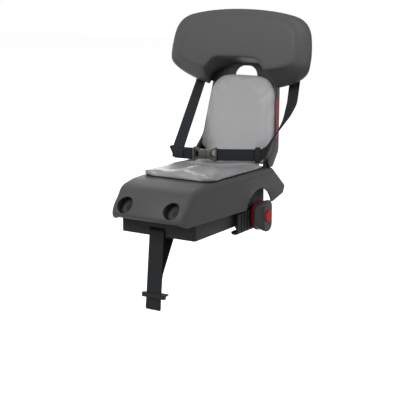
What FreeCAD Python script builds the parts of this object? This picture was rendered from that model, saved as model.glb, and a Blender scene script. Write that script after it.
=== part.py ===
"""Rear child bike seat that clamps on a rear carrier.

Frame: millimetres, +Z up, the child faces -Y. The origin is the centre of the base plate's underside,
which lies on the carrier. The reclined back is modelled upright about its hinge line and then leaned back.
"""
import FreeCAD, Part
import math
import os

import Sketcher
from FreeCAD import Placement, Rotation, Vector

doc = FreeCAD.newDocument("child_seat")

# Driving sizes: alias, value in millimetres or degrees, what it is
SIZES = [
    ("fit_gap", 0.3, "clearance between pieces that move past each other"),
    ("pin_gap", 0.1, "radial clearance of pins and shafts"),
    ("tool_over", 5, "reach of cuts past the faces they open"),
    ("loft_over", 1, "reach of hollow forms past the faces they open"),
    ("housing_width", 176, "clamp housing across the carrier"),
    ("housing_length", 280, "clamp housing along the carrier"),
    ("housing_height", 30, "top of the housing's deck"),
    ("housing_wall", 3, "wall of the clamp housing"),
    ("housing_corner", 6, "corner radius of the housing"),
    ("plate_thick", 3, "base plate"),
    ("plate_screw_inset", 10, "base plate screws inside the housing's sides"),
    ("tower_length", 108, "raised rear part of the housing"),
    ("tower_inset", 4, "raised rear part inside the housing's sides"),
    ("tower_height", 66, "top of the raised part"),
    ("axis_y", 89, "clamp spindle behind the origin"),
    ("axis_z", 12, "clamp spindle above the carrier"),
    ("spindle_radius", 4, "clamp spindle"),
    ("bush_radius", 6, "spindle bush"),
    ("bush_length", 14, "spindle bush"),
    ("bush_rib_half", 13, "half length of the rib that holds the bush"),
    ("spindle_inset", 4, "free end of the spindle inside the housing's side"),
    ("ring_clip_radius", 7, "retaining rings on the spindle"),
    ("ring_clip_thick", 1.2, "retaining rings on the spindle"),
    ("rail_radius", 6, "carrier rail that the jaws hold"),
    ("rail_gap", 0.2, "radial play of the rail in the jaw pad"),
    ("rail_inset", 1, "rails inside the housing's sides with the jaws wide open"),
    ("jaw_front", 9, "front end of the jaws"),
    ("jaw_length", 104, "jaws along the carrier"),
    ("jaw_height", 26, "top of the jaw's outer wall"),
    ("jaw_block_top", 22, "top of the jaw's sliding block"),
    ("jaw_block_reach", 30, "sliding block inside the housing's sides"),
    ("jaw_wall_offset", 0.6, "inner side of the jaw's outer wall beyond the rail's middle"),
    ("jaw_travel", 30, "inward travel of each jaw"),
    ("hook_thick", 3, "hook below the rail"),
    ("jaw_pad_thick", 1.2, "rubber liner of the hook"),
    ("rib_pitch", 12, "spacing of the grooves on the jaw's outer wall"),
    ("rib_depth", 1.6, "depth of those grooves"),
    ("nut_radius", 7.5, "threaded insert"),
    ("nut_length", 14, "threaded insert"),
    ("nut_inset", 2, "threaded insert inside the end of its block"),
    ("ring_gap", 1.5, "gap between the jaw and the red ring"),
    ("ring_thick", 4.5, "red ring behind the knob"),
    ("ring_radius", 32, "red ring behind the knob"),
    ("knob_depth", 21, "wing knob along the spindle"),
    ("knob_base_half", 30, "half width of the knob's round base"),
    ("knob_bar_half_width", 17, "half width of the knob's wing"),
    ("knob_bar_half_height", 33.5, "half height of the knob's wing"),
    ("cap_radius", 13.5, "red cap"),
    ("cap_thick", 5, "red cap"),
    ("cap_seat", 3, "depth of the cap's seat in the knob"),
    ("knob_screw_radius", 2.5, "screw under the cap"),
    ("knob_screw_high", 6, "head of that screw"),
    ("shell_wall", 3.2, "wall of the seat shell"),
    ("shell_low", 31, "lower edge of the shell"),
    ("shell_top", 104, "seat surface of the shell"),
    ("nose_reach", 183, "front of the shell ahead of the origin"),
    ("nose_knee", 58.5, "height where the nose starts to lean back"),
    ("nose_shoulder", 122.7, "where the nose meets the seat surface, ahead of the origin"),
    ("knee_round", 48, "radius of the nose's knee"),
    ("shoulder_round", 100, "radius of the nose's shoulder"),
    ("lip_round", 16, "radius of the nose's lower lip"),
    ("heel_y", 148, "where the tail's underside starts"),
    ("tail_y", 204, "lower corner of the tail's tip"),
    ("tail_z", 44.4, "height of that corner"),
    ("tail_blunt", 12.5, "height of the blunt tip"),
    ("brow_y", 152, "rear end of the seat surface"),
    ("brow_round", 14, "radius of that end"),
    ("shell_front_half", 85, "half width of the shell at the nose"),
    ("shell_rear_half", 103, "half width of the shell at the arch"),
    ("flare_y", 45, "where the shell's flare ends"),
    ("shell_edge", 12, "rounding of the shell's upper edges"),
    ("arch_radius", 56, "cut-out round the knob"),
    ("boss_radius", 6.5, "screw bosses of the shell"),
    ("boss_spread", 60, "screw bosses either side of the middle"),
    ("boss_front_y", 105, "front bosses ahead of the origin"),
    ("boss_rear_y", 122, "rear bosses behind the origin"),
    ("shell_screw_radius", 2.2, "shell screws"),
    ("shell_screw_length", 22, "shell screws below the head"),
    ("shell_screw_head", 4.2, "head radius of the shell screws"),
    ("head_high", 3, "head height of the shell screws"),
    ("socket_radius", 18, "round sockets in the nose"),
    ("socket_depth", 17, "depth of the sockets"),
    ("socket_wall", 3, "wall of the sockets"),
    ("socket_spread", 55, "sockets either side of the middle"),
    ("socket_y", 172, "socket mouth ahead of the origin"),
    ("socket_z", 63, "height of the socket mouth"),
    ("socket_tilt", 30, "upward lean of the sockets"),
    ("socket_screw_radius", 3, "bolt in the socket"),
    ("socket_screw_head", 7.5, "head radius of that bolt"),
    ("socket_screw_high", 4, "head height of that bolt"),
    ("pivot_y", 147, "hinge line behind the origin"),
    ("pivot_z", 114, "hinge line above the carrier"),
    ("recline", 11.5, "lean of the back"),
    ("lug_radius", 10, "hinge lugs of the shell"),
    ("lug_foot", 16, "foot of the lugs ahead of the hinge line"),
    ("lug_thick", 6, "hinge lugs of the shell"),
    ("hinge_pin_radius", 4, "hinge pins"),
    ("hinge_head_radius", 6, "heads of the hinge pins"),
    ("hinge_head_thick", 2.2, "heads of the hinge pins"),
    ("pin_skin", 1.2, "skin of the flange outside the pin's blind hole"),
    ("frame_foot_half", 96, "half width of the back at the hinge line"),
    ("frame_neck_half", 79, "half width of the back at the neck"),
    ("neck_high", 165, "neck above the hinge line"),
    ("flange_thick", 4.5, "side flanges of the back"),
    ("flange_front", 16, "front edge of the flanges"),
    ("flange_rear", 36, "rear edge of the flanges"),
    ("flange_knee", 42, "height where the flanges start to sweep forward"),
    ("flange_rear_knee", 14, "rear bend of the flanges below that"),
    ("flange_front_knee", 6, "front bend of the flanges above that"),
    ("flange_rear_round", 30, "radius of the rear bend"),
    ("flange_front_round", 40, "radius of the front bend"),
    ("neck_over", 3, "flanges up into the head panel's back"),
    ("ear_radius", 9, "rounded foot of the flanges"),
    ("web_front", 22, "front of the back's web"),
    ("web_thick", 4, "web of the back"),
    ("window_half", 28, "half width of the window"),
    ("window_low", 182, "lower edge of the window"),
    ("window_high", 206, "upper edge of the window"),
    ("window_round", 23, "corner radius of the window"),
    ("window_rim", 2, "rim between the notch and the window"),
    ("strap_width", 25, "harness webbing"),
    ("strap_thick", 1.8, "harness webbing"),
    ("slot_play", 1.5, "play of the webbing in its slots on each side"),
    ("strap_slot_x", 118, "shoulder strap slots beside the middle"),
    ("strap_slot_high", 194, "shoulder strap slots above the hinge line"),
    ("strap_drop", 25, "fall of the shoulder straps behind the back before they leave it"),
    ("belt_slot_inset", 7.5, "belt slots inside the flange's outer face"),
    ("belt_slot_wide", 7, "width of the belt slots"),
    ("belt_slot_high", 58, "belt slots above the hinge line"),
    ("panel_front", 38, "front face of the head panel ahead of the hinge line"),
    ("panel_ridge", 20, "widest outline of the head panel ahead of the hinge line"),
    ("panel_wall", 3, "wall of the head panel"),
    ("panel_half", 174, "half width of the head panel"),
    ("panel_face_half", 147, "half width of the panel's front face"),
    ("panel_back_half", 150, "half width of the panel's back"),
    ("panel_high", 324, "top of the head panel above the hinge line"),
    ("panel_mid", 223, "widest level of the head panel"),
    ("panel_low", 155, "lowest level of the head panel"),
    ("panel_foot_half", 65, "half width of that level"),
    ("panel_soft", 3, "rounding of the panel's front edge"),
    ("panel_face_drop", 12, "top of the front face below the panel's top"),
    ("panel_face_rise", 28, "foot of the front face above the panel's lowest level"),
    ("panel_face_dip", 2, "widest level of the front face below that of the panel"),
    ("panel_back_drop", 4, "top of the panel's back below the panel's top"),
    ("panel_back_rise", 5, "foot of the panel's back above the panel's lowest level"),
    ("notch_half", 58, "half width of the notch's top"),
    ("notch_foot_half", 80, "half width of the notch's foot"),
    ("notch_high", 216, "top of the notch"),
    ("notch_side", 30, "height of the notch's sloping sides"),
    ("notch_round", 14, "corner radius of the notch"),
    ("panel_boss_radius", 5, "screw bosses of the head panel"),
    ("panel_screw_radius", 1.8, "head panel screws"),
    ("panel_screw_length", 18, "head panel screws below the head"),
    ("panel_screw_head", 4, "head radius of those screws"),
    ("panel_boss_x", 75, "panel bosses either side of the middle"),
    ("panel_boss_low", 232, "lower panel bosses"),
    ("panel_boss_high", 290, "upper panel bosses"),
    ("cushion_front", 8, "front of the back cushion behind the hinge line"),
    ("cushion_low", 14, "lower edge of the back cushion"),
    ("cushion_high", 187, "upper edge of the back cushion"),
    ("cushion_top_half", 56, "half width of its upper edge"),
    ("cushion_shoulder", 146, "height where it starts to narrow"),
    ("cushion_shoulder_round", 60, "radius there"),
    ("cushion_top_round", 22, "radius of its upper corners"),
    ("cushion_low_round", 8, "radius of its lower corners"),
    ("cushion_play", 1.2, "play of the cushion between the flanges"),
    ("cushion_notch_play", 2, "play of the belts in the cushion's notches"),
    ("cushion_edge", 4, "rounding of the cushions"),
    ("pad_front", 76, "front of the seat cushion ahead of the origin"),
    ("pad_rear", 143, "rear of the seat cushion behind the origin"),
    ("pad_front_half", 84, "half width of the seat cushion in front"),
    ("pad_rear_half", 91, "half width of the seat cushion at the rear"),
    ("pad_thick", 10, "seat cushion"),
    ("pad_corner", 22, "corner radius of the seat cushion"),
    ("pad_play", 2, "gap of the seat cushion round the hinge lugs"),
    ("pad_step", 12, "length of the step where it narrows"),
    ("pad_step_round", 6, "rounding of that step"),
    ("stripe_low", 52, "lower end of the red stripes"),
    ("stripe_high", 136, "upper end of the red stripes"),
    ("stripe_wide", 13, "width of the red stripes"),
    ("stripe_thick", 0.6, "red stripes"),
    ("belt_z", 134, "middle of the waist belt"),
    ("buckle_x", -18, "middle of the buckle"),
    ("buckle_y", 66, "middle of the buckle"),
    ("buckle_turn", 14, "turn of the buckle about the vertical"),
    ("buckle_half", 27, "half length of the buckle"),
    ("buckle_high", 35, "height of the buckle"),
    ("buckle_thick", 11, "thickness of the buckle"),
    ("buckle_waist", 19, "height of the buckle's middle"),
    ("belt_corner_x", 97, "left corner of the belt beside the middle"),
    ("belt_corner_y", 56, "left corner of the belt behind the origin"),
    ("slide_x", 84, "right belt slide beside the middle"),
    ("slide_y", 112, "right belt slide behind the origin"),
    ("slide_half", 6, "half length of the belt slide"),
    ("slide_deep", 4, "half thickness of the belt slide"),
    ("slide_rim", 4, "rim of the belt slide"),
    ("tether_width", 34, "safety strap"),
    ("tether_thick", 1.8, "safety strap"),
    ("tether_low", 147, "lower end of the safety strap below the carrier"),
    ("tether_lean", 17, "forward lean of the strap's lower end"),
    ("slider_low", 119, "slider of the safety strap below the carrier"),
    ("slider_width", 54, "slider across"),
    ("slider_high", 9, "slider along the strap"),
    ("slider_rim", 2.4, "rim of the slider's opening"),
    ("bar_radius", 3, "bar that holds the safety strap"),
    ("bar_y", 112, "that bar ahead of the origin"),
    ("bar_z", 13, "that bar above the carrier"),
    ("cheek_thick", 5, "cheeks that hold that bar"),
    ("cheek_half", 7, "half length of the cheeks"),
    ("mouth_low", 1.5, "strap's mouth in the housing below the bar's middle"),
    ("mouth_high", 4.5, "strap's mouth above the bar's middle"),
    ("gate_rear", 3, "strap's slot in the base plate behind the strap"),
    ("gate_length", 7, "strap's slot in the base plate"),
]


class Size:
    """A length that knows its value and the sheet expression it comes from."""

    def __init__(self, value, text):
        self.value = float(value)
        self.text = text

    def __add__(self, other):
        other = size(other)
        return Size(self.value + other.value, f"({self.text} + {other.text})")

    def __sub__(self, other):
        other = size(other)
        return Size(self.value - other.value, f"({self.text} - {other.text})")

    def __mul__(self, other):
        other = size(other)
        return Size(self.value * other.value, f"({self.text} * {other.text})")

    def __truediv__(self, other):
        other = size(other)
        return Size(self.value / other.value, f"({self.text} / {other.text})")

    def __radd__(self, other):
        return size(other) + self

    def __rsub__(self, other):
        return size(other) - self

    def __rmul__(self, other):
        return size(other) * self

    def __neg__(self):
        return Size(-self.value, f"(-1 * {self.text})")


def size(number):
    """Return number as a Size; a plain number stays a constant in the expression."""
    return number if isinstance(number, Size) else Size(number, repr(float(number)))


class Sheet:
    """The spreadsheet of driving sizes; every alias is an attribute that gives a Size."""

    def __init__(self, rows):
        self.cells = doc.addObject("Spreadsheet::Sheet", "Sizes")
        for row, (alias, value, note) in enumerate(rows, start=1):
            self.cells.set(f"A{row}", note)
            self.cells.set(f"B{row}", str(value))
            self.cells.setAlias(f"B{row}", alias)
        doc.recompute()

    def __getattr__(self, alias):
        return Size(getattr(self.cells, alias), f"Sizes.{alias}")


d = Sheet(SIZES)
parts = []

# Sketch and feature helpers


def bind(thing, path, length):
    """Bind one property of a document object to the sheet."""
    thing.setExpression(path, size(length).text)


def new_body(label):
    """Start an empty body."""
    body = doc.addObject("PartDesign::Body", label)
    body.Label = label
    return body


def new_sketch(body, plane, level):
    """Attach a sketch to one of the body's origin planes, at a level along that plane's axis."""
    side = -1 if plane == "XZ_Plane" else 1
    sketch = body.newObject("Sketcher::SketchObject", "Sketch")
    support = [face for face in body.Origin.OriginFeatures if face.Role == plane]
    sketch.AttachmentSupport = [(support[0], "")]
    sketch.MapMode = "FlatFace"
    shift = size(level) * side
    sketch.AttachmentOffset = Placement(Vector(0, 0, shift.value), Rotation())
    bind(sketch, "AttachmentOffset.Base.z", shift)
    return sketch


def pin(sketch, geometry, end, x, y):
    """Fix one point of the sketch by its distances from the origin, bound to the sheet."""
    for kind, length in (("DistanceX", x), ("DistanceY", y)):
        mark = Sketcher.Constraint(kind, -1, 1, geometry, end, size(length).value)
        index = sketch.addConstraint(mark)
        bind(sketch, f"Constraints[{index}]", length)


def circle(sketch, x, y, radius):
    """Draw a circle with bound centre and radius."""
    x, y, radius = size(x), size(y), size(radius)
    edge = Part.Circle(Vector(x.value, y.value, 0), Vector(0, 0, 1), radius.value)
    index = sketch.addGeometry(edge, False)
    pin(sketch, index, 3, x, y)
    mark = sketch.addConstraint(Sketcher.Constraint("Radius", index, radius.value))
    bind(sketch, f"Constraints[{mark}]", radius)


def corner_points(before, corner, after, radius):
    """Return where a rounding leaves the two sides of a corner, and its middle."""
    to_before = (before - corner).normalize()
    to_after = (after - corner).normalize()
    half = math.acos(max(-1.0, min(1.0, to_before.dot(to_after)))) / 2
    reach = radius / math.tan(half)
    bisector = (to_before + to_after).normalize()
    middle = corner + bisector * (radius / math.sin(half))
    return corner + to_before * reach, corner + to_after * reach, middle


def outline(sketch, corners):
    """Draw a closed outline of straight sides, given as (x, y) or (x, y, radius) anticlockwise."""
    count = len(corners)
    points = [Vector(size(c[0]).value, size(c[1]).value, 0) for c in corners]
    leave, enter, arcs = [], [], []
    for i, corner in enumerate(corners):
        if len(corner) < 3:
            enter.append(points[i])
            leave.append(points[i])
            arcs.append(None)
            continue
        before, after = points[i - 1], points[(i + 1) % count]
        first, last, middle = corner_points(before, points[i], after, size(corner[2]).value)
        enter.append(first)
        leave.append(last)
        arcs.append(middle)
    sides = [Part.LineSegment(leave[i], enter[(i + 1) % count]) for i in range(count)]
    first_side = sketch.addGeometry(sides, False)[0]
    for i, corner in enumerate(corners):
        came, goes = first_side + (i - 1) % count, first_side + i
        if arcs[i] is None:
            sketch.addConstraint(Sketcher.Constraint("Coincident", came, 2, goes, 1))
            pin(sketch, goes, 1, corner[0], corner[1])
            continue
        radius = size(corner[2])
        start = math.atan2(enter[i].y - arcs[i].y, enter[i].x - arcs[i].x)
        stop = math.atan2(leave[i].y - arcs[i].y, leave[i].x - arcs[i].x)
        turns_left = (stop - start) % (2 * math.pi) < math.pi
        if not turns_left:
            start, stop = stop, start
        bend = Part.ArcOfCircle(Part.Circle(arcs[i], Vector(0, 0, 1), radius.value), start, stop)
        arc = sketch.addGeometry(bend, False)
        point = sketch.addGeometry(Part.Point(points[i]), True)
        begin, end = (1, 2) if turns_left else (2, 1)
        sketch.addConstraint([
            Sketcher.Constraint("Tangent", came, 2, arc, begin),
            Sketcher.Constraint("Tangent", arc, end, goes, 1),
            Sketcher.Constraint("PointOnObject", point, 1, came),
            Sketcher.Constraint("PointOnObject", point, 1, goes),
        ])
        mark = sketch.addConstraint(Sketcher.Constraint("Radius", arc, radius.value))
        bind(sketch, f"Constraints[{mark}]", radius)
        pin(sketch, point, 1, corner[0], corner[1])


def mirrored(half):
    """Complete the right half of an outline, given from the lowest corner up, by its mirror image."""
    left = [(-size(c[0]), *c[1:]) for c in reversed(half) if size(c[0]).value]
    return [*half, *left]


def pad(body, plane, start, end, draw):
    """Add material between two levels over what draw puts in the sketch."""
    return _prism(body, "PartDesign::Pad", plane, start, end, draw)


def cut(body, plane, start, end, draw):
    """Remove material between two levels; a cut that misses the body is an error."""
    doc.recompute()
    before = body.Shape.Volume
    feature = _prism(body, "PartDesign::Pocket", plane, start, end, draw)
    feature.Reversed = True
    doc.recompute()
    if abs(body.Shape.Volume - before) < 1e-6:
        raise ValueError(f"a cut of {body.Label} removes nothing: {feature.getStatusString()}")
    return feature


def _prism(body, kind, plane, start, end, draw):
    """Make a pad or pocket from the level the plane's axis leaves first."""
    first = end if plane == "XZ_Plane" else start
    sketch = new_sketch(body, plane, first)
    draw(sketch)
    feature = body.newObject(kind, kind.split("::")[1])
    feature.Profile = sketch
    bind(feature, "Length", size(end) - start)
    return feature


def loft(body, plane, sections):
    """Join outlines at several levels by flat-sided faces."""
    sketches = []
    for level, corners in sections:
        sketch = new_sketch(body, plane, level)
        outline(sketch, corners)
        sketches.append(sketch)
    feature = body.newObject("PartDesign::AdditiveLoft", "Loft")
    feature.Profile = sketches[0]
    feature.Sections = sketches[1:]
    feature.Ruled = True
    return feature


def fillet(body, radius, pick):
    """Round the edges of the body's latest shape for which pick is true."""
    doc.recompute()
    tip = body.Tip
    names = [f"Edge{i}" for i, edge in enumerate(tip.Shape.Edges, start=1) if pick(edge)]
    if not names:
        raise ValueError(f"no edge to round on {body.Label}")
    feature = body.newObject("PartDesign::Fillet", "Fillet")
    feature.Base = (tip, names)
    bind(feature, "Radius", radius)
    doc.recompute()
    if not feature.Shape.isValid():
        raise ValueError(f"the rounding of {body.Label} fails")
    return feature


def edge_at(axis, level):
    """Return a test for edges that lie wholly at one coordinate."""
    def test(edge):
        box = edge.BoundBox
        ends = {"x": (box.XMin, box.XMax), "y": (box.YMin, box.YMax), "z": (box.ZMin, box.ZMax)}[axis]
        return all(abs(end - size(level).value) < 1e-3 for end in ends)
    return test


# Solids outside bodies: rods, booleans, screws, webbing

UP = Vector(0, 0, 1)
ACROSS = Vector(1, 0, 0)
TURNS = {"x": Rotation(Vector(0, 1, 0), 90), "y": Rotation(Vector(1, 0, 0), -90), "z": Rotation()}


def cosine(angle):
    """Return the cosine of an angle of the sheet."""
    return Size(math.cos(math.radians(angle.value)), f"cos({angle.text} * 1deg)")


def sine(angle):
    """Return the sine of an angle of the sheet."""
    return Size(math.sin(math.radians(angle.value)), f"sin({angle.text} * 1deg)")


def root(number):
    """Return a square root."""
    return Size(math.sqrt(number.value), f"sqrt({number.text})")


def put(thing, x, y, z, turn=None):
    """Place an object, with its position bound to the sheet."""
    spot = [size(x), size(y), size(z)]
    thing.Placement = Placement(Vector(*[s.value for s in spot]), turn or Rotation())
    for name, length in zip("xyz", spot):
        bind(thing, f"Placement.Base.{name}", length)
    return thing


def rod(axis, start, end, first, second, radius):
    """Make a cylinder along an axis; first and second are its other two coordinates in order."""
    cylinder = doc.addObject("Part::Cylinder", "Rod")
    bind(cylinder, "Radius", radius)
    bind(cylinder, "Height", size(end) - start)
    spots = {"x": (start, first, second), "y": (first, start, second), "z": (first, second, start)}
    return put(cylinder, *spots[axis], TURNS[axis])


def fuse(things):
    """Join solids that touch into one."""
    joined = doc.addObject("Part::MultiFuse", "Joined")
    joined.Shapes = things
    return joined


def subtract(base, tool):
    """Take one solid away from another."""
    rest = doc.addObject("Part::Cut", "Rest")
    rest.Base = base
    rest.Tool = tool
    return rest


def group(things):
    """Keep separate solids together as one piece of the list."""
    together = doc.addObject("Part::Compound", "Group")
    together.Links = things
    return together


def screw(axis, seat, first, second, sizes, way):
    """Make a screw whose head bears on seat and whose shank runs along way, +1 or -1."""
    shank_radius, head_radius, head_high, length = sizes
    if way > 0:
        head = rod(axis, size(seat) - head_high, seat, first, second, head_radius)
        shank = rod(axis, seat, size(seat) + length, first, second, shank_radius)
    else:
        head = rod(axis, seat, size(seat) + head_high, first, second, head_radius)
        shank = rod(axis, size(seat) - length, seat, first, second, shank_radius)
    return fuse([head, shank])


def keep(thing, label):
    """Enter a finished sub-part under its name."""
    thing.Label = label
    parts.append(thing)
    return thing


def lean_back(thing):
    """Move a piece of the back from its upright frame to the reclined hinge line."""
    put(thing, 0, d.pivot_y, d.pivot_z, Rotation(Vector(1, 0, 0), -d.recline.value))
    thing.setExpression("Placement.Rotation.Angle", f"-{d.recline.text} * 1deg")
    return thing


def back_point(x, depth, high):
    """Return where a point of the upright back lies once it is reclined."""
    lean = math.radians(d.recline.value)
    y = d.pivot_y.value + depth * math.cos(lean) + high * math.sin(lean)
    z = d.pivot_z.value + high * math.cos(lean) - depth * math.sin(lean)
    return Vector(x, y, z)


def ribbon(label, width, thick, stations):
    """Make flat webbing through stations, each a middle point and the direction of its width."""
    wires = []
    for i, (middle, across) in enumerate(stations):
        came = (middle - stations[i - 1][0]).normalize() if i else None
        goes = (stations[i + 1][0] - middle).normalize() if i + 1 < len(stations) else None
        run = ((came or goes) + (goes or came)).normalize()
        normal = run.cross(across).normalize()
        side = normal.cross(run).normalize()
        bend = run.dot(came or goes)
        reach, lift = side * (width.value / 2), normal * (thick.value / 2 / max(bend, 0.5))
        ring = [middle + reach + lift, middle - reach + lift, middle - reach - lift, middle + reach - lift]
        wires.append(Part.makePolygon([*ring, ring[0]]))
    band = doc.addObject("Part::Feature", label)
    band.Shape = Part.makeLoft(wires, True, True)
    return keep(band, label)


def flat_band(points, width, thick):
    """Return webbing that follows points in the middle plane, as an extruded outline."""
    left, right = [], []
    for i, middle in enumerate(points):
        came = (middle - points[i - 1]).normalize() if i else None
        goes = (points[i + 1] - middle).normalize() if i + 1 < len(points) else None
        run = ((came or goes) + (goes or came)).normalize()
        offset = run.cross(ACROSS) * (thick / 2 / run.dot(came or goes))
        left.append(middle + offset)
        right.insert(0, middle - offset)
    edge = Part.makePolygon([*left, *right, left[0]])
    edge.translate(ACROSS * (-width / 2))
    return Part.Face(edge).extrude(ACROSS * width)


def both_sides(start, end, side):
    """Return two levels in rising order on the right (side 1) or left (side -1)."""
    return (size(start), size(end)) if side > 0 else (-size(end), -size(start))


SIDES = {"right": 1, "left": -1}

# Sizes shared by several pieces
half_width = d.housing_width / 2
half_length = d.housing_length / 2
hook_radius = d.rail_radius + d.rail_gap + d.jaw_pad_thick
rail_x = half_width - d.rail_inset
jaw_inner = half_width - d.jaw_block_reach
rail_z = -(d.rail_radius + d.rail_gap + d.fit_gap)
jaw_outer = rail_x + hook_radius + d.hook_thick
jaw_rear = d.jaw_front + d.jaw_length
ring_start = jaw_outer + d.ring_gap
knob_start = ring_start + d.ring_thick
knob_end = knob_start + d.knob_depth
web_rear = d.web_front + d.web_thick
taper = (d.frame_foot_half - d.frame_neck_half) / d.neck_high
belt_slot_x = d.frame_foot_half - taper * d.belt_slot_high - d.flange_thick - d.belt_slot_inset
deck_low = d.housing_height - d.housing_wall
tower_low = d.tower_height - d.housing_wall
tower_front = half_length - d.tower_length
plate_screw_x = half_width - d.plate_screw_inset
plate_screw_y = half_length - d.plate_screw_inset
shell_screw_hole = d.shell_screw_radius + d.pin_gap


def frame_half(high):
    """Return the half width of the back at a height above the hinge line."""
    return d.frame_foot_half - taper * high


def block(x, y, round_by=None):
    """Return the corners of a rectangle centred on the middle plane of both axes."""
    corners = [(-size(x), -size(y)), (size(x), -size(y)), (size(x), size(y)), (-size(x), size(y))]
    return [(*c, round_by) if round_by else c for c in corners]


def box_corners(x0, y0, x1, y1):
    """Return the corners of a rectangle."""
    return [(x0, y0), (x1, y0), (x1, y1), (x0, y1)]


# Clamp housing and base plate


def jaw_gates(sketch):
    """Draw the open slots that the jaws slide in, right and left."""
    inner = rail_x + hook_radius - d.jaw_travel - d.jaw_pad_thick - d.rail_radius
    for side in SIDES.values():
        x0, x1 = both_sides(inner, half_width + d.tool_over, side)
        outline(sketch, box_corners(x0, d.jaw_front - d.fit_gap, x1, jaw_rear + d.fit_gap))


def make_base_plate():
    """Flat plate that lies on the carrier, with the jaws' slots, the strap's slot and screw holes."""
    body = new_body("base_plate")
    pad(body, "XY_Plane", 0, d.plate_thick,
        lambda s: outline(s, block(half_width, half_length, d.housing_corner)))
    cut(body, "XY_Plane", 0, d.plate_thick, jaw_gates)
    slot_half = d.tether_width / 2 + d.slot_play
    slot_rear = -d.bar_y + d.bar_radius + d.tether_thick + d.gate_rear
    corners = box_corners(-slot_half, slot_rear - d.gate_length, slot_half, slot_rear)
    cut(body, "XY_Plane", 0, d.plate_thick, lambda s: outline(s, corners))
    for x in (-plate_screw_x, plate_screw_x):
        for y in (-plate_screw_y, plate_screw_y):
            cut(body, "XY_Plane", 0, d.plate_thick,
                lambda s: circle(s, x, y, d.panel_screw_radius + d.pin_gap))
            cut(body, "XY_Plane", 0, d.plate_thick / 2,
                lambda s: circle(s, x, y, d.panel_screw_head + d.pin_gap))
    keep(body, "base_plate")
    head_high = d.plate_thick / 2 - d.pin_gap
    sizes = (d.panel_screw_radius, d.panel_screw_head, head_high, d.panel_screw_length / 2)
    spots = [(x, y) for x in (-plate_screw_x, plate_screw_x) for y in (-plate_screw_y, plate_screw_y)]
    keep(group([screw("z", d.plate_thick / 2, x, y, sizes, 1) for x, y in spots]), "plate_screws")


def make_clamp_housing():
    """Moulded cover over the clamp: a low front, a raised rear, open below."""
    body = new_body("clamp_housing")
    wall = d.housing_wall
    pad(body, "XY_Plane", d.plate_thick, d.housing_height,
        lambda s: outline(s, block(half_width, half_length, d.housing_corner)))
    tower_half = half_width - d.tower_inset
    pad(body, "XY_Plane", deck_low, d.tower_height,
        lambda s: outline(s, box_corners(-tower_half, tower_front, tower_half, half_length)))
    cut(body, "XY_Plane", d.plate_thick, deck_low,
        lambda s: outline(s, block(half_width - wall, half_length - wall)))
    room = box_corners(wall - tower_half, tower_front + wall, tower_half - wall, half_length - wall)
    cut(body, "XY_Plane", deck_low, tower_low, lambda s: outline(s, room))
    cut(body, "XY_Plane", d.plate_thick, d.jaw_height + d.fit_gap, jaw_gates)
    post_low, post_high = d.plate_thick, d.housing_height
    for x in (-plate_screw_x, plate_screw_x):
        for y in (-plate_screw_y, plate_screw_y):
            pad(body, "XY_Plane", post_low, deck_low, lambda s: circle(s, x, y, d.panel_boss_radius))
            cut(body, "XY_Plane", post_low, post_low + d.panel_screw_length / 2,
                lambda s: circle(s, x, y, d.panel_screw_radius + d.pin_gap))
    rib_half = d.bush_length / 2
    rib = box_corners(-rib_half, d.axis_y - d.bush_rib_half, rib_half, d.axis_y + d.bush_rib_half)
    pad(body, "XY_Plane", d.plate_thick, tower_low, lambda s: outline(s, rib))
    cut(body, "YZ_Plane", -rib_half, rib_half,
        lambda s: circle(s, d.axis_y, d.axis_z, d.bush_radius + d.pin_gap))
    bar_half = d.tether_width / 2 + d.slot_play
    for side in SIDES.values():
        x0, x1 = both_sides(bar_half, bar_half + d.cheek_thick, side)
        cheek = box_corners(x0, -d.bar_y - d.cheek_half, x1, -d.bar_y + d.cheek_half)
        pad(body, "XY_Plane", d.plate_thick + d.fit_gap, deck_low, lambda s: outline(s, cheek))
        cut(body, "YZ_Plane", x0, x1, lambda s: circle(s, -d.bar_y, d.bar_z, d.bar_radius + d.pin_gap))
    mouth = box_corners(-bar_half, d.bar_z - d.mouth_low, bar_half, d.bar_z + d.mouth_high)
    cut(body, "XZ_Plane", -half_length, -half_length + wall, lambda s: outline(s, mouth))
    for x in (-d.boss_spread, d.boss_spread):
        cut(body, "XY_Plane", deck_low, post_high,
            lambda s: circle(s, x, -d.boss_front_y, shell_screw_hole))
        cut(body, "XY_Plane", tower_low, d.tower_height,
            lambda s: circle(s, x, d.boss_rear_y, shell_screw_hole))
    keep(body, "clamp_housing")
    bar_end = bar_half + d.cheek_thick
    keep(rod("x", -bar_end, bar_end, -d.bar_y, d.bar_z, d.bar_radius), "strap_bar")


# Clamp drive: spindle, bush, rings, knob


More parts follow.
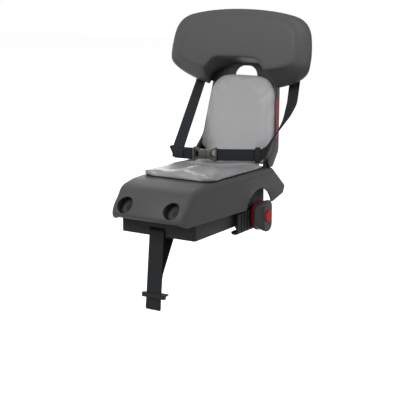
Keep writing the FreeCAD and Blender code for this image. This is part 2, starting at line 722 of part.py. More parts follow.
def make_clamp_drive():
    """Spindle across the housing with its bush, retaining rings, red ring, wing knob and cap."""
    rib_half = d.bush_length / 2
    tip = -half_width + d.spindle_inset
    stem_end = knob_end - d.cap_seat - d.knob_screw_high
    keep(rod("x", tip, stem_end, d.axis_y, d.axis_z, d.spindle_radius), "spindle")
    bush = subtract(rod("x", -rib_half, rib_half, d.axis_y, d.axis_z, d.bush_radius),
                    rod("x", -rib_half, rib_half, d.axis_y, d.axis_z, d.spindle_radius + d.pin_gap))
    keep(bush, "spindle_bush")
    clips = []
    for side in SIDES.values():
        x0, x1 = both_sides(rib_half + d.fit_gap, rib_half + d.fit_gap + d.ring_clip_thick, side)
        disc = rod("x", x0, x1, d.axis_y, d.axis_z, d.ring_clip_radius)
        clips.append(subtract(disc, rod("x", x0, x1, d.axis_y, d.axis_z, d.spindle_radius)))
    keep(group(clips), "retaining_rings")

    ring = new_body("knob_ring")
    pad(ring, "YZ_Plane", ring_start, knob_start, lambda s: circle(s, d.axis_y, d.axis_z, d.ring_radius))
    cut(ring, "YZ_Plane", ring_start, knob_start, lambda s: circle(s, d.axis_y, d.axis_z, d.spindle_radius))
    fillet(ring, d.ring_thick / 4, lambda e: e.BoundBox.ZLength > d.ring_radius.value)
    keep(ring, "knob_ring")

    knob = new_body("clamp_knob")

    def grip(half_wide, half_high, bend):
        corners = block(half_wide, half_high)
        return [(d.axis_y + y, d.axis_z + z, bend) for y, z in corners]

    base = d.knob_base_half
    bar = d.knob_bar_half_width
    chamfer = d.cap_seat / 2
    loft(knob, "YZ_Plane", [
        (knob_start, grip(base, base, base * 0.93)),
        (knob_start + d.knob_depth * 0.25, grip(base, base, base * 0.93)),
        (knob_start + d.knob_depth * 0.8, grip(bar, d.knob_bar_half_height, bar * 0.9)),
        (knob_end - chamfer, grip(bar, d.knob_bar_half_height, bar * 0.9)),
        (knob_end, grip(bar - chamfer, d.knob_bar_half_height - chamfer, (bar - chamfer) * 0.9)),
    ])
    cut(knob, "YZ_Plane", knob_end - d.cap_seat, knob_end,
        lambda s: circle(s, d.axis_y, d.axis_z, d.cap_radius + d.pin_gap))
    cut(knob, "YZ_Plane", stem_end, knob_end - d.cap_seat,
        lambda s: circle(s, d.axis_y, d.axis_z, d.knob_screw_radius * 2 + d.pin_gap))
    cut(knob, "YZ_Plane", knob_start, stem_end, lambda s: circle(s, d.axis_y, d.axis_z, d.spindle_radius))
    keep(knob, "clamp_knob")

    keep(rod("x", stem_end, knob_end - d.cap_seat - d.pin_gap, d.axis_y, d.axis_z, d.knob_screw_radius * 2),
         "knob_screw")
    cap = new_body("knob_cap")
    cap_low = knob_end - d.cap_seat
    pad(cap, "YZ_Plane", cap_low, cap_low + d.cap_thick,
        lambda s: circle(s, d.axis_y, d.axis_z, d.cap_radius))
    fillet(cap, d.cap_thick - d.cap_seat, edge_at("x", cap_low + d.cap_thick))
    keep(cap, "knob_cap")


# Jaws


def make_jaw(name, side):
    """Sliding jaw: a hook for the rail, a ribbed outer wall, a block with the threaded insert."""
    jaw = new_body(f"{name}_jaw")
    inner = rail_x + d.jaw_wall_offset
    low = d.plate_thick + d.fit_gap
    floor = rail_z - hook_radius - d.hook_thick
    tip_x = rail_x - d.rail_radius
    profile = [
        (jaw_outer, floor, d.hook_thick * 2),
        (jaw_outer, d.jaw_height),
        (inner, d.jaw_height),
        (inner, d.jaw_block_top),
        (jaw_inner, d.jaw_block_top),
        (jaw_inner, low),
        (inner, low),
        (inner, rail_z / 10),
        (rail_x - 1, rail_z),
        (tip_x, rail_z - d.hook_thick * 1.7),
        (tip_x, floor + d.hook_thick),
        (tip_x + d.hook_thick, floor),
    ]
    mirror = [(side * size(c[0]), *c[1:]) for c in profile]
    pad(jaw, "XZ_Plane", d.jaw_front, jaw_rear, lambda s: outline(s, mirror))
    cut(jaw, "XZ_Plane", d.jaw_front, jaw_rear, lambda s: circle(s, side * rail_x, rail_z, hook_radius))
    nut_start = jaw_inner + d.nut_inset
    x0, x1 = both_sides(jaw_inner, jaw_outer, side)
    cut(jaw, "YZ_Plane", x0, x1, lambda s: circle(s, d.axis_y, d.axis_z, d.spindle_radius + d.fit_gap))
    x0, x1 = both_sides(jaw_inner, nut_start + d.nut_length, side)
    cut(jaw, "YZ_Plane", x0, x1, lambda s: circle(s, d.axis_y, d.axis_z, d.nut_radius + d.pin_gap))
    count = int(d.jaw_length.value / d.rib_pitch.value)

    def grooves(sketch):
        g0, g1 = both_sides(jaw_outer - d.rib_depth, jaw_outer + d.tool_over, side)
        for i in range(1, count):
            y = d.jaw_front + d.rib_pitch * i
            outline(sketch, box_corners(g0, y, g1, y + d.rib_pitch / 3))

    cut(jaw, "XY_Plane", floor + d.hook_thick * 2, d.jaw_height, grooves)
    keep(jaw, f"{name}_jaw")

    x0, x1 = both_sides(nut_start, nut_start + d.nut_length, side)
    nut = subtract(rod("x", x0, x1, d.axis_y, d.axis_z, d.nut_radius),
                   rod("x", x0, x1, d.axis_y, d.axis_z, d.spindle_radius + d.pin_gap))
    keep(nut, f"{name}_jaw_nut")

    liner = new_body(f"{name}_jaw_pad")

    def rings(sketch):
        circle(sketch, side * rail_x, rail_z, hook_radius)
        circle(sketch, side * rail_x, rail_z, d.rail_radius + d.rail_gap)

    pad(liner, "XZ_Plane", d.jaw_front, jaw_rear, rings)
    reach = hook_radius * 2
    wedge = [(rail_x, rail_z), (rail_x + reach * 0.45, rail_z + reach), (rail_x - reach, rail_z + reach),
             (rail_x - reach, rail_z - reach * 0.72)]
    cut(liner, "XZ_Plane", d.jaw_front, jaw_rear, lambda s: outline(s, [(side * x, z) for x, z in wedge]))
    keep(liner, f"{name}_jaw_pad")


# Seat shell


def shell_form(label, inset, low):
    """Solid form of the seat shell, or of its hollow when inset by the wall."""
    body = new_body(label)
    slope = (d.shell_top - d.nose_knee) / (d.nose_reach - d.nose_shoulder)
    tip_y, tip_z = d.tail_y + d.tail_blunt / 2, d.tail_z + d.tail_blunt
    fall = (d.shell_top - tip_z) / (tip_y - d.brow_y)
    drop = inset * root(1 + slope * slope)
    back_drop = inset * root(1 + fall * fall)
    front = inset - d.nose_reach
    top = d.shell_top - inset
    knee = d.nose_knee + slope * inset - drop
    shoulder = (top - d.nose_knee + drop) / slope - d.nose_reach
    brow = d.brow_y + (inset - back_drop) / fall
    if inset.value:
        profile = [(front, low), (d.brow_y + (d.shell_top - low - back_drop) / fall, low)]
    else:
        profile = [(front, low), (d.heel_y, low), (d.tail_y, d.tail_z), (tip_y, tip_z)]
    profile += [
        (brow, top, d.brow_round - inset),
        (shoulder, top, d.shoulder_round - inset),
        (front, knee, d.knee_round - inset),
    ]
    reach = d.shell_rear_half + d.tool_over * 2
    pad(body, "YZ_Plane", -reach, reach, lambda s: outline(s, profile))
    flare = (d.shell_rear_half - d.shell_front_half) / (d.nose_reach + d.flare_y)
    clear = d.tool_over * 4
    ahead = d.nose_reach + clear
    behind = d.tail_y * 1.3
    nose_half = d.shell_front_half - flare * clear - inset
    rear_half = d.shell_rear_half - inset
    plan = [(nose_half, -ahead), (rear_half, d.flare_y, d.tail_y * 2), (rear_half, behind)]
    frame = block(reach + d.tool_over, behind + d.tool_over)

    def sides(sketch):
        outline(sketch, frame)
        outline(sketch, mirrored(plan))

    cut(body, "XY_Plane", low - d.tool_over, d.shell_top + d.tool_over, sides)
    limit = nose_half.value - 1

    def upper_side(edge):
        ends = [edge.valueAt(edge.FirstParameter), edge.valueAt(edge.LastParameter)]
        on_side = all(abs(p.x) > limit for p in ends) and ends[0].x * ends[1].x > 0
        upright = edge.BoundBox.XLength < 1e-3 and edge.BoundBox.YLength < 1e-3
        nose_post = upright and edge.BoundBox.YMax < front.value + 1
        under = edge.BoundBox.ZMin < low.value + 1e-3 and not nose_post
        return on_side and not under and (nose_post or not upright)

    fillet(body, d.shell_edge - inset, upper_side)
    if not inset.value:
        wide = d.lip_round * 2
        under_lip = [(front - wide, low - wide), (front + wide, low - wide), (front + wide, low),
                     (front, low, d.lip_round), (front, low + wide), (front - wide, low + wide)]
        cut(body, "YZ_Plane", -reach, reach, lambda s: outline(s, under_lip))
    return body


def socket_rod(side, start, end, radius):
    """Make a cylinder on the axis of a nose socket between two depths below its mouth."""
    rod_ = doc.addObject("Part::Cylinder", "Socket")
    bind(rod_, "Radius", radius)
    bind(rod_, "Height", size(end) - start)
    y = size(start) * cosine(d.socket_tilt) - d.socket_y
    z = d.socket_z - size(start) * sine(d.socket_tilt)
    put(rod_, side * d.socket_spread, y, z, Rotation(Vector(1, 0, 0), -90 - d.socket_tilt.value))
    rod_.setExpression("Placement.Rotation.Angle", f"-(90 + {d.socket_tilt.text}) * 1deg")
    return rod_


def make_seat_shell():
    """Moulded seat pan: hollow form with screw bosses, sockets, arches and hinge lugs."""
    outer = shell_form("shell_outside", size(0), d.shell_low)
    hollow = shell_form("shell_inside", d.shell_wall, d.shell_low - d.tool_over * 2)
    boss_spots = []
    for x in (-d.boss_spread, d.boss_spread):
        boss_spots.append((x, -d.boss_front_y, d.housing_height))
        boss_spots.append((x, d.boss_rear_y, d.tower_height))
    solid = [rod("z", low, d.shell_top, x, y, d.boss_radius) for x, y, low in boss_spots]
    seat = d.socket_depth + d.socket_screw_high
    deep = seat + d.socket_wall
    sleeve = d.socket_radius + d.socket_wall
    solid += [socket_rod(side, -d.tool_over * 2, deep, sleeve) for side in SIDES.values()]
    pan = subtract(outer, subtract(hollow, fuse(solid)))

    lugs = []
    for name, side in SIDES.items():
        lug = new_body(f"{name}_lug")
        x0, x1 = both_sides(lug_outer - d.lug_thick, lug_outer, side)
        foot = d.shell_top - d.shell_edge
        profile = [
            (d.pivot_y - d.lug_foot, foot),
            (d.pivot_y + d.lug_radius * 1.1, foot),
            (d.pivot_y + d.lug_radius, d.pivot_z + d.lug_radius, d.lug_radius * 0.95),
            (d.pivot_y - d.lug_radius, d.pivot_z + d.lug_radius, d.lug_radius * 0.95),
        ]
        pad(lug, "YZ_Plane", x0, x1, lambda s: outline(s, profile))
        lugs.append(lug)
    pan = fuse([pan, *lugs])

    holes = [rod("z", low, low + d.shell_screw_length, x, y, shell_screw_hole) for x, y, low in boss_spots]
    for side in SIDES.values():
        holes.append(socket_rod(side, -d.socket_depth * 2, d.socket_depth, d.socket_radius))
        holes.append(socket_rod(side, 0, seat, d.socket_screw_head + d.pin_gap))
        holes.append(socket_rod(side, 0, deep + d.loft_over, d.socket_screw_radius + d.pin_gap))
        x0, x1 = both_sides(half_width, d.shell_rear_half + d.tool_over, side)
        holes.append(rod("x", x0, x1, d.axis_y, d.axis_z, d.arch_radius))
        x0, x1 = both_sides(lug_outer - d.lug_thick - d.loft_over, lug_outer + d.loft_over, side)
        holes.append(rod("x", x0, x1, d.pivot_y, d.pivot_z, d.hinge_pin_radius + d.pin_gap))
    keep(subtract(pan, fuse(holes)), "seat_shell")

    sizes = (d.shell_screw_radius, d.shell_screw_head, d.head_high, d.shell_screw_length)
    seats = [(x, -d.boss_front_y, deck_low) for x in (-d.boss_spread, d.boss_spread)]
    seats += [(x, d.boss_rear_y, tower_low) for x in (-d.boss_spread, d.boss_spread)]
    keep(group([screw("z", low, x, y, sizes, 1) for x, y, low in seats]), "shell_screws")
    bolts = []
    for side in SIDES.values():
        head = socket_rod(side, d.socket_depth, seat, d.socket_screw_head)
        shank = socket_rod(side, seat, deep + d.socket_screw_high, d.socket_screw_radius)
        bolts.append(fuse([head, shank]))
    keep(group(bolts), "socket_screws")


def make_seat_cushion():
    """Foam pad on the seat surface, narrower behind where it passes the hinge lugs."""
    body = new_body("seat_cushion")
    rear_half = lug_outer - d.lug_thick - d.hinge_head_thick - d.pad_play
    step = d.pivot_y - d.lug_foot - d.pad_play
    bend = d.pad_step_round
    half = [
        (d.pad_front_half, -d.pad_front, d.pad_corner),
        (d.pad_rear_half, step - d.pad_step, bend),
        (rear_half, step, bend),
        (rear_half, d.pad_rear, bend),
    ]
    pad(body, "XY_Plane", d.shell_top, d.shell_top + d.pad_thick, lambda s: outline(s, mirrored(half)))
    fillet(body, d.cushion_edge, edge_at("z", d.shell_top + d.pad_thick))
    keep(body, "seat_cushion")


# Back: frame, head panel, cushion, stripes


def wing(half, top, mid, low, rounds, inset=0):
    """Outline of the head panel at one depth, from the low middle round to the top."""
    inset = size(inset)
    low_round, side_round = rounds
    return mirrored([
        (d.panel_foot_half, low + inset),
        (half * 0.96 - inset, mid - (mid - low) * 0.52 + inset, half * low_round),
        (half - inset, mid, half * side_round),
        (half * 0.9 - inset, top - (top - mid) * 0.205 - inset, half * 0.25),
        (0, top - inset, half * 2.5),
    ])


def panel_outlines(inset=0):
    """Front face, widest outline and back of the head panel."""
    soft, crisp = (0.16, 0.3), (0.1, 0.2)
    face_mid, face_low = d.panel_mid - d.panel_face_dip, d.panel_low + d.panel_face_rise
    face = wing(d.panel_face_half, d.panel_high - d.panel_face_drop, face_mid, face_low, crisp, inset)
    ridge = wing(d.panel_half, d.panel_high, d.panel_mid, d.panel_low, soft, inset)
    back_low = d.panel_low + d.panel_back_rise
    back = wing(d.panel_back_half, d.panel_high - d.panel_back_drop, d.panel_mid, back_low, soft, inset)
    return face, ridge, back


def between(first, second, share):
    """Return the outline part of the way from one outline to another of the same build."""
    return [tuple(a + (size(b) - a) * share for a, b in zip(p, q)) for p, q in zip(first, second)]


def shrunk(shape, share):
    """Return an outline of the head panel drawn in towards its middle."""
    centre = [(0, d.panel_mid, 0)] * len(shape)
    return between(shape, centre, share)


def panel_sections():
    """Loft sections of the head panel from its soft front edge over the ridge to its back."""
    face, ridge, back = panel_outlines()
    front, soft = -d.panel_front, d.panel_soft
    return [
        (front, shrunk(face, 0.045)),
        (front + soft / 3, shrunk(face, 0.018)),
        (front + soft, face),
        (-d.panel_ridge - soft * 1.6, between(face, ridge, 0.8)),
        (-d.panel_ridge, ridge),
        (-d.panel_ridge + soft * 2.5, between(ridge, back, 0.1)),
        (d.web_front, back),
    ]


def notch_sections(grow):
    """Tapering notch through the head panel, or its walls when grown."""
    grow = size(grow)
    foot = d.panel_low - d.notch_side
    front = mirrored([
        (d.notch_foot_half + grow, foot),
        (d.notch_foot_half + grow, d.notch_high - d.notch_side),
        (d.notch_half + grow, d.notch_high + grow, d.notch_round),
    ])
    rear_foot = frame_half(d.panel_low) + d.cushion_play + grow
    rear = mirrored([
        (rear_foot, foot),
        (rear_foot, d.window_low - d.window_rim),
        (d.window_half + grow, d.window_high + d.window_rim + grow, d.notch_round),
    ])
    return [(-d.panel_front - d.loft_over, front), (d.web_front + d.loft_over, rear)]


def make_head_panel():
    """Hollow moulded wing panel, closed behind by the back frame, with its notch and screw bosses."""
    outer = new_body("panel_outside")
    loft(outer, "XZ_Plane", panel_sections())
    hollow = new_body("panel_inside")
    face, ridge, back = panel_outlines(d.panel_wall)
    loft(hollow, "XZ_Plane", [
        (d.panel_wall - d.panel_front, face),
        (-d.panel_ridge, ridge),
        (d.web_front + d.loft_over, back),
    ])
    notch_wall = new_body("notch_wall")
    loft(notch_wall, "XZ_Plane", notch_sections(d.panel_wall))
    notch = new_body("notch")
    loft(notch, "XZ_Plane", notch_sections(0))
    spots = panel_screw_spots()
    bosses = [rod("y", -d.panel_front, d.web_front, x, high, d.panel_boss_radius) for x, high in spots]
    shell = subtract(subtract(outer, subtract(hollow, fuse([notch_wall, *bosses]))), notch)
    tip, hole = d.web_front - d.panel_screw_length, d.panel_screw_radius + d.pin_gap
    holes = [rod("y", tip, d.web_front, x, high, hole) for x, high in spots]
    keep(lean_back(subtract(shell, fuse(holes))), "head_panel")
    sizes = (d.panel_screw_radius, d.panel_screw_head, d.head_high, d.panel_screw_length)
    keep(lean_back(group([screw("y", web_rear, x, high, sizes, -1) for x, high in spots])), "panel_screws")


def panel_screw_spots():
    """Return the places of the head panel's screws on the back."""
    levels = (d.panel_boss_low, d.panel_boss_high)
    return [(x, high) for x in (-d.panel_boss_x, d.panel_boss_x) for high in levels]


def make_backrest_frame():
    """Moulded back: web between two side flanges that sweep forward to the hinge, and the panel's back."""
    body = new_body("backrest_frame")
    ear = d.ear_radius
    reach = d.frame_foot_half + d.tool_over * 2
    profile = [
        (-ear, -ear, ear * 0.95),
        (ear, -ear, ear * 0.95),
        (d.flange_rear, d.flange_knee - d.flange_rear_knee, d.flange_rear_round),
        (d.flange_rear, d.neck_high + d.neck_over),
        (d.flange_front, d.neck_high + d.neck_over),
        (d.flange_front, d.flange_knee + d.flange_front_knee, d.flange_front_round),
        (-ear, ear),
    ]
    pad(body, "YZ_Plane", -reach, reach, lambda s: outline(s, profile))
    foot, top = -d.tool_over * 4, d.neck_high + d.tool_over * 4
    trapezium = mirrored([(frame_half(foot), foot), (frame_half(top), top)])

    def outside(sketch):
        outline(sketch, block(reach + d.tool_over, top * 2))
        outline(sketch, trapezium)

    cut(body, "XZ_Plane", -reach, reach, outside)
    inner = mirrored([(frame_half(foot) - d.flange_thick, foot), (frame_half(top) - d.flange_thick, top)])
    cut(body, "XZ_Plane", -reach, d.web_front, lambda s: outline(s, inner))
    cut(body, "XZ_Plane", web_rear, reach, lambda s: outline(s, inner))
    back_outline = panel_outlines()[-1]
    pad(body, "XZ_Plane", d.web_front, web_rear, lambda s: outline(s, back_outline))
    window = [(d.window_half, d.window_low), (d.window_half, d.window_high, d.window_round)]
    cut(body, "XZ_Plane", d.web_front, web_rear, lambda s: outline(s, mirrored(window)))
    slot_half = d.strap_width / 2 + d.slot_play
    thin = d.strap_thick / 2 + d.slot_play
    for side in SIDES.values():
        x0, x1 = both_sides(d.strap_slot_x - slot_half, d.strap_slot_x + slot_half, side)
        cut(body, "XZ_Plane", d.web_front, web_rear,
            lambda s: outline(s, box_corners(x0, d.strap_slot_high - thin, x1, d.strap_slot_high + thin)))
        x0, x1 = both_sides(belt_slot_x - d.belt_slot_wide / 2, belt_slot_x + d.belt_slot_wide / 2, side)
        belt_slot = box_corners(x0, d.belt_slot_high - slot_half, x1, d.belt_slot_high + slot_half)
        cut(body, "XZ_Plane", d.web_front, web_rear, lambda s: outline(s, belt_slot))
        flange_inner = d.frame_foot_half - d.flange_thick
        x0, x1 = both_sides(flange_inner - d.loft_over, d.frame_foot_half - d.pin_skin, side)
        cut(body, "YZ_Plane", x0, x1, lambda s: circle(s, 0, 0, d.hinge_pin_radius + d.pin_gap))
    for x, high in panel_screw_spots():
        cut(body, "XZ_Plane", d.web_front, web_rear,
            lambda s: circle(s, x, high, d.panel_screw_radius + d.pin_gap))
    keep(lean_back(body), "backrest_frame")


def make_hinge_pins():
    """Headed pins through the shell's lugs into the foot of the flanges."""
    inner = lug_outer - d.lug_thick
    for name, side in SIDES.items():
        x0, x1 = both_sides(inner, d.frame_foot_half - d.pin_skin - d.fit_gap, side)
        shank = rod("x", x0, x1, d.pivot_y, d.pivot_z, d.hinge_pin_radius)
        x0, x1 = both_sides(inner - d.hinge_head_thick, inner, side)
        keep(fuse([shank, rod("x", x0, x1, d.pivot_y, d.pivot_z, d.hinge_head_radius)]), f"{name}_hinge_pin")


def make_back_cushion():
    """Foam pad between the flanges, notched at both sides where the belts come through."""
    body = new_body("backrest_cushion")

    def half(high):
        return frame_half(high) - d.flange_thick - d.cushion_play

    slot_half = d.strap_width / 2 + d.slot_play + d.cushion_play
    notch_x = belt_slot_x - d.belt_slot_wide / 2 - d.cushion_notch_play
    low_notch, high_notch = d.belt_slot_high - slot_half, d.belt_slot_high + slot_half
    right = [
        (half(d.cushion_low), d.cushion_low, d.cushion_low_round),
        (half(low_notch), low_notch),
        (notch_x, low_notch),
        (notch_x, high_notch),
        (half(high_notch), high_notch),
        (half(d.cushion_shoulder), d.cushion_shoulder, d.cushion_shoulder_round),
        (d.cushion_top_half, d.cushion_high, d.cushion_top_round),
    ]
    pad(body, "XZ_Plane", d.cushion_front, d.web_front, lambda s: outline(s, mirrored(right)))
    keep(lean_back(body), "backrest_cushion")


def make_stripes():
    """Thin red reflective stripe on the outer face of each flange."""
    strips = []
    middle = (d.flange_front + d.flange_rear) / 2
    for name, side in SIDES.items():
        strip = new_body(f"{name}_stripe")
        low, high = frame_half(d.stripe_low), frame_half(d.stripe_high)
        face = [(low, d.stripe_low), (low + d.stripe_thick, d.stripe_low),
                (high + d.stripe_thick, d.stripe_high), (high, d.stripe_high)]
        pad(strip, "XZ_Plane", middle - d.stripe_wide / 2, middle + d.stripe_wide / 2,
            lambda s: outline(s, [(side * x, z) for x, z in face]))
        strips.append(strip)
    keep(lean_back(group(strips)), "side_stripes")


# Harness


def belt_run(distance):
    """Return a point of the belt's line through the buckle, at a distance from its middle."""
    turn = math.radians(d.buckle_turn.value)
    offset = Vector(math.cos(turn), math.sin(turn), 0) * distance
    return Vector(d.buckle_x.value, d.buckle_y.value, d.belt_z.value) + offset


def place_buckle(thing):
    """Move a buckle half from its own frame to the belt."""
    put(thing, d.buckle_x, d.buckle_y, d.belt_z, Rotation(UP, d.buckle_turn.value))
    thing.setExpression("Placement.Rotation.Angle", f"{d.buckle_turn.text} * 1deg")
    return thing


def make_buckle():
    """Side-release buckle: a socket and a tongue with two prongs, both waisted like an X."""
    end_half = d.buckle_high / 2
    waist = d.buckle_waist / 2
    mouth = d.buckle_half * 0.1
    knee = d.buckle_half * 0.42
    deep = d.buckle_thick / 2
    prong = d.buckle_thick / 5
    bar = d.buckle_half * 0.13
    slot_half = d.strap_width / 2 + d.fit_gap
    corner = d.buckle_high / 9

    def half_body(label, side):
        body = new_body(label)
        start = mouth if side < 0 else mouth + d.fit_gap
        tail, bend = side * d.buckle_half, side * knee
        shape = [(start, -waist), (bend, -waist, waist), (tail, -end_half, corner),
                 (tail, end_half, corner), (bend, waist, waist), (start, waist)]
        pad(body, "XZ_Plane", -deep, deep, lambda s: outline(s, shape))
        inner, outer = side * (knee + bar / 2), side * (d.buckle_half - bar)
        window = [(inner, -waist / 2, bar / 2), (outer, -slot_half, bar / 2),
                  (outer, slot_half, bar / 2), (inner, waist / 2, bar / 2)]
        cut(body, "XZ_Plane", -deep, deep, lambda s: outline(s, window))
        return body

    socket = half_body("buckle_socket", -1)
    cavity_end = -knee + bar / 2
    cut(socket, "XZ_Plane", -prong - d.fit_gap, prong + d.fit_gap,
        lambda s: outline(s, box_corners(cavity_end, -waist * 0.8, mouth, waist * 0.8)))
    keep(place_buckle(socket), "buckle_socket")
    tongue = half_body("buckle_tongue", 1)
    for side in SIDES.values():
        z0, z1 = both_sides(waist * 0.35, waist * 0.7, side)
        pad(tongue, "XZ_Plane", -prong, prong,
            lambda s: outline(s, box_corners(cavity_end + 1, z0, mouth + d.fit_gap, z1)))
    keep(place_buckle(tongue), "buckle_tongue")


def make_harness():
    """Shoulder straps and waist belts as flat webbing, with the slide on the right."""
    reach = d.buckle_half.value + d.fit_gap.value
    belt_z = d.belt_z.value
    slot_x, slot_high, drop = d.strap_slot_x.value, d.strap_slot_high.value, d.strap_drop.value
    rear = web_rear.value + d.strap_thick.value
    belt_x, belt_high = belt_slot_x.value, d.belt_slot_high.value
    front, behind = d.cushion_front.value, d.flange_rear.value + 6
    corner = Vector(-d.belt_corner_x.value, d.belt_corner_y.value, belt_z)
    slide = Vector(d.slide_x.value, d.slide_y.value, belt_z)
    arrive = belt_run(reach)
    slide_run = (slide - arrive).normalize()

    def hang(side):
        return [
            (back_point(side * slot_x, d.web_front.value - 4, slot_high), ACROSS),
            (back_point(side * slot_x, rear, slot_high), ACROSS),
            (back_point(side * slot_x, rear, slot_high - drop), ACROSS),
        ]

    belt_top = UP * (d.strap_width.value / 2 + d.fit_gap.value * 2)
    ribbon("left_shoulder_strap", d.strap_width, d.strap_thick, [
        *hang(-1),
        (corner + Vector(17, 6, 0) + belt_top, Vector(0.9, 0.4, 0)),
    ])
    crevice = Vector(-62, d.pad_rear.value + 3.2, d.shell_top.value)
    ribbon("left_waist_belt", d.strap_width, d.strap_thick, [
        (crevice + UP * 0.7, ACROSS),
        (crevice + UP * 13, ACROSS),
        (crevice + Vector(-6, -20, 24), Vector(0.5, 0, 0.87)),
        (corner + Vector(11, 32, 0), UP),
        (corner + Vector(-2, 12, 0), UP),
        (corner, UP),
        (corner + Vector(9, -5, 0), UP),
        (belt_run(-reach - 14), UP),
        (belt_run(-reach), UP),
    ])
    ribbon("right_waist_belt", d.strap_width, d.strap_thick, [
        (arrive, UP),
        (belt_run(reach + 14), UP),
        (slide - slide_run, UP),
    ])
    lean_up = (back_point(0, 0, 1) - back_point(0, 0, 0)).normalize()
    ribbon("right_shoulder_strap", d.strap_width, d.strap_thick, [
        *hang(1),
        (back_point(slot_x - 3, rear + 2, slot_high - drop * 2.5), Vector(1, 0.2, 0)),
        (back_point(slot_x - 14, behind, belt_high + 36), Vector(0.7, 0.5, 0.6)),
        (back_point(belt_x + 14, behind + 1, belt_high + 6), lean_up),
        (back_point(belt_x, behind - 7, belt_high), lean_up),
        (back_point(belt_x, front - 4, belt_high - 2), lean_up),
        (slide + slide_run * 16 + Vector(-1, 6, 5), UP),
        (slide + slide_run * 7.5, UP),
        (slide + slide_run, UP),
    ])
    body = new_body("right_belt_slide")
    turn = math.degrees(math.atan2(slide_run.y, slide_run.x))
    half_high = d.strap_width / 2
    outer = block(d.slide_half, half_high + d.slide_rim, d.slide_rim * 0.75)
    pad(body, "XZ_Plane", -d.slide_deep, d.slide_deep, lambda s: outline(s, outer))
    gap = d.strap_thick + d.fit_gap
    window = block(gap, half_high + d.fit_gap)
    cut(body, "YZ_Plane", -d.slide_half, d.slide_half, lambda s: outline(s, window))
    put(body, d.slide_x, d.slide_y, d.belt_z, Rotation(UP, turn))
    keep(body, "right_belt_slide")


# Safety strap


def make_safety_strap():
    """Webbing loop from the bar in the housing, out of its front, down to the sewn end, and its slider."""
    thick = d.tether_thick.value
    bar_y, bar_z = -d.bar_y.value, d.bar_z.value
    wrap = d.bar_radius.value + thick
    face = -half_length.value - thick
    end = Vector(0, face - d.tether_lean.value, -d.tether_low.value)
    start = Vector(0, face - 1, bar_z - 9)
    run = (end - start).normalize()
    slider = start + run * ((d.slider_low.value + start.z) / -run.z)
    lift = Vector(0, -run.z, run.y) * (thick + 0.4)
    above = slider - run * 42
    points = [
        end + lift, slider + lift, above + lift,
        Vector(0, bar_y + wrap + 1, -6), Vector(0, bar_y + wrap, bar_z),
        Vector(0, bar_y + wrap / 2, bar_z + wrap), Vector(0, bar_y - wrap, bar_z + wrap - 2),
        Vector(0, face + 4, bar_z + 2), Vector(0, face - 1, bar_z - 2), start, above, slider, end,
    ]
    band = doc.addObject("Part::Feature", "safety_strap")
    band.Shape = flat_band(points, d.tether_width.value, thick)
    keep(band, "safety_strap")

    body = new_body("strap_slider")
    rim = d.slider_rim
    room = d.tether_thick + 0.2 + d.fit_gap * 2
    pad(body, "XY_Plane", -d.slider_high / 2, d.slider_high / 2,
        lambda s: outline(s, block(d.slider_width / 2, room + rim, rim)))
    cut(body, "XY_Plane", -d.slider_high / 2, d.slider_high / 2,
        lambda s: outline(s, block(d.tether_width / 2 + d.slot_play, room)))
    lean = math.degrees(math.atan2(run.y, -run.z))
    middle = slider + lift / 2
    body.Placement = Placement(middle, Rotation(Vector(1, 0, 0), lean))
    keep(body, "strap_slider")


lug_outer = frame_half(d.lug_radius) - d.flange_thick - d.fit_gap

make_base_plate()
make_clamp_housing()
make_clamp_drive()
for jaw_name, jaw_side in SIDES.items():
    make_jaw(jaw_name, jaw_side)
make_seat_shell()
make_seat_cushion()
make_backrest_frame()
make_head_panel()
make_hinge_pins()
make_back_cushion()
make_stripes()
make_buckle()
make_harness()
make_safety_strap()
doc.recompute()

for thing in doc.Objects:
    if any(state in ("Invalid", "Error") for state in thing.State):
        raise ValueError(f"{thing.Label} failed: {thing.State}")
for part in parts:
    if part.Shape.isNull() or not part.Shape.isValid():
        raise ValueError(f"{part.Label} has no valid shape")

os.makedirs("parts", exist_ok=True)
for part in parts:
    part.Shape.exportStep(f"parts/{part.Label}.step")
    print(f"{part.Label}: {len(part.Shape.Solids)} solid(s), {part.Shape.Volume / 1000:.2f} cm3")
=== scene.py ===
"""Dress of the rear child bike seat: pads, webbing, buckle, finishes and the studio."""

import logging
import math
from dataclasses import dataclass, field
from enum import Enum
from typing import Callable, Iterable

import bpy
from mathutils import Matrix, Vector


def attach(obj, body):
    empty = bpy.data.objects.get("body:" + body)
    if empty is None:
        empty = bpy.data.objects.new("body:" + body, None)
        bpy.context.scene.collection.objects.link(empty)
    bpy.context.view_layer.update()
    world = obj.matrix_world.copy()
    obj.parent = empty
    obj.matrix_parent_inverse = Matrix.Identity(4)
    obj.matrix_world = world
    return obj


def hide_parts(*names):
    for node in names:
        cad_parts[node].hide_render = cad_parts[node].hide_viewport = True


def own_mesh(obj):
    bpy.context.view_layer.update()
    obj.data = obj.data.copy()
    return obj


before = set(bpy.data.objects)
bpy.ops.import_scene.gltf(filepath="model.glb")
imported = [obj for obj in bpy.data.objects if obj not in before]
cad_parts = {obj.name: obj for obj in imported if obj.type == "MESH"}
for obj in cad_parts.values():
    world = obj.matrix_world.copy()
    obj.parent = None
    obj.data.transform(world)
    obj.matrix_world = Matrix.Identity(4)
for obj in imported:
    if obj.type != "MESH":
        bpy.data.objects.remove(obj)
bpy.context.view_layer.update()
log = logging.getLogger("child_seat")

MM = 0.001
UP = Vector((0.0, 0.0, 1.0))
ACROSS = Vector((1.0, 0.0, 0.0))
LEAN_DEG = 11.5
HINGE_Y_MM = 147
HINGE_Z_MM = 114
SWELL_FRAMES = 20


class Body(Enum):
    """The rigid bodies that pieces ride on."""

    SEAT = "seat"
    BACKREST = "backrest"
    KNOB = "knob"
    RIGHT_CLAMP = "right_clamp"
    LEFT_CLAMP = "left_clamp"
    SLIDER = "slider"


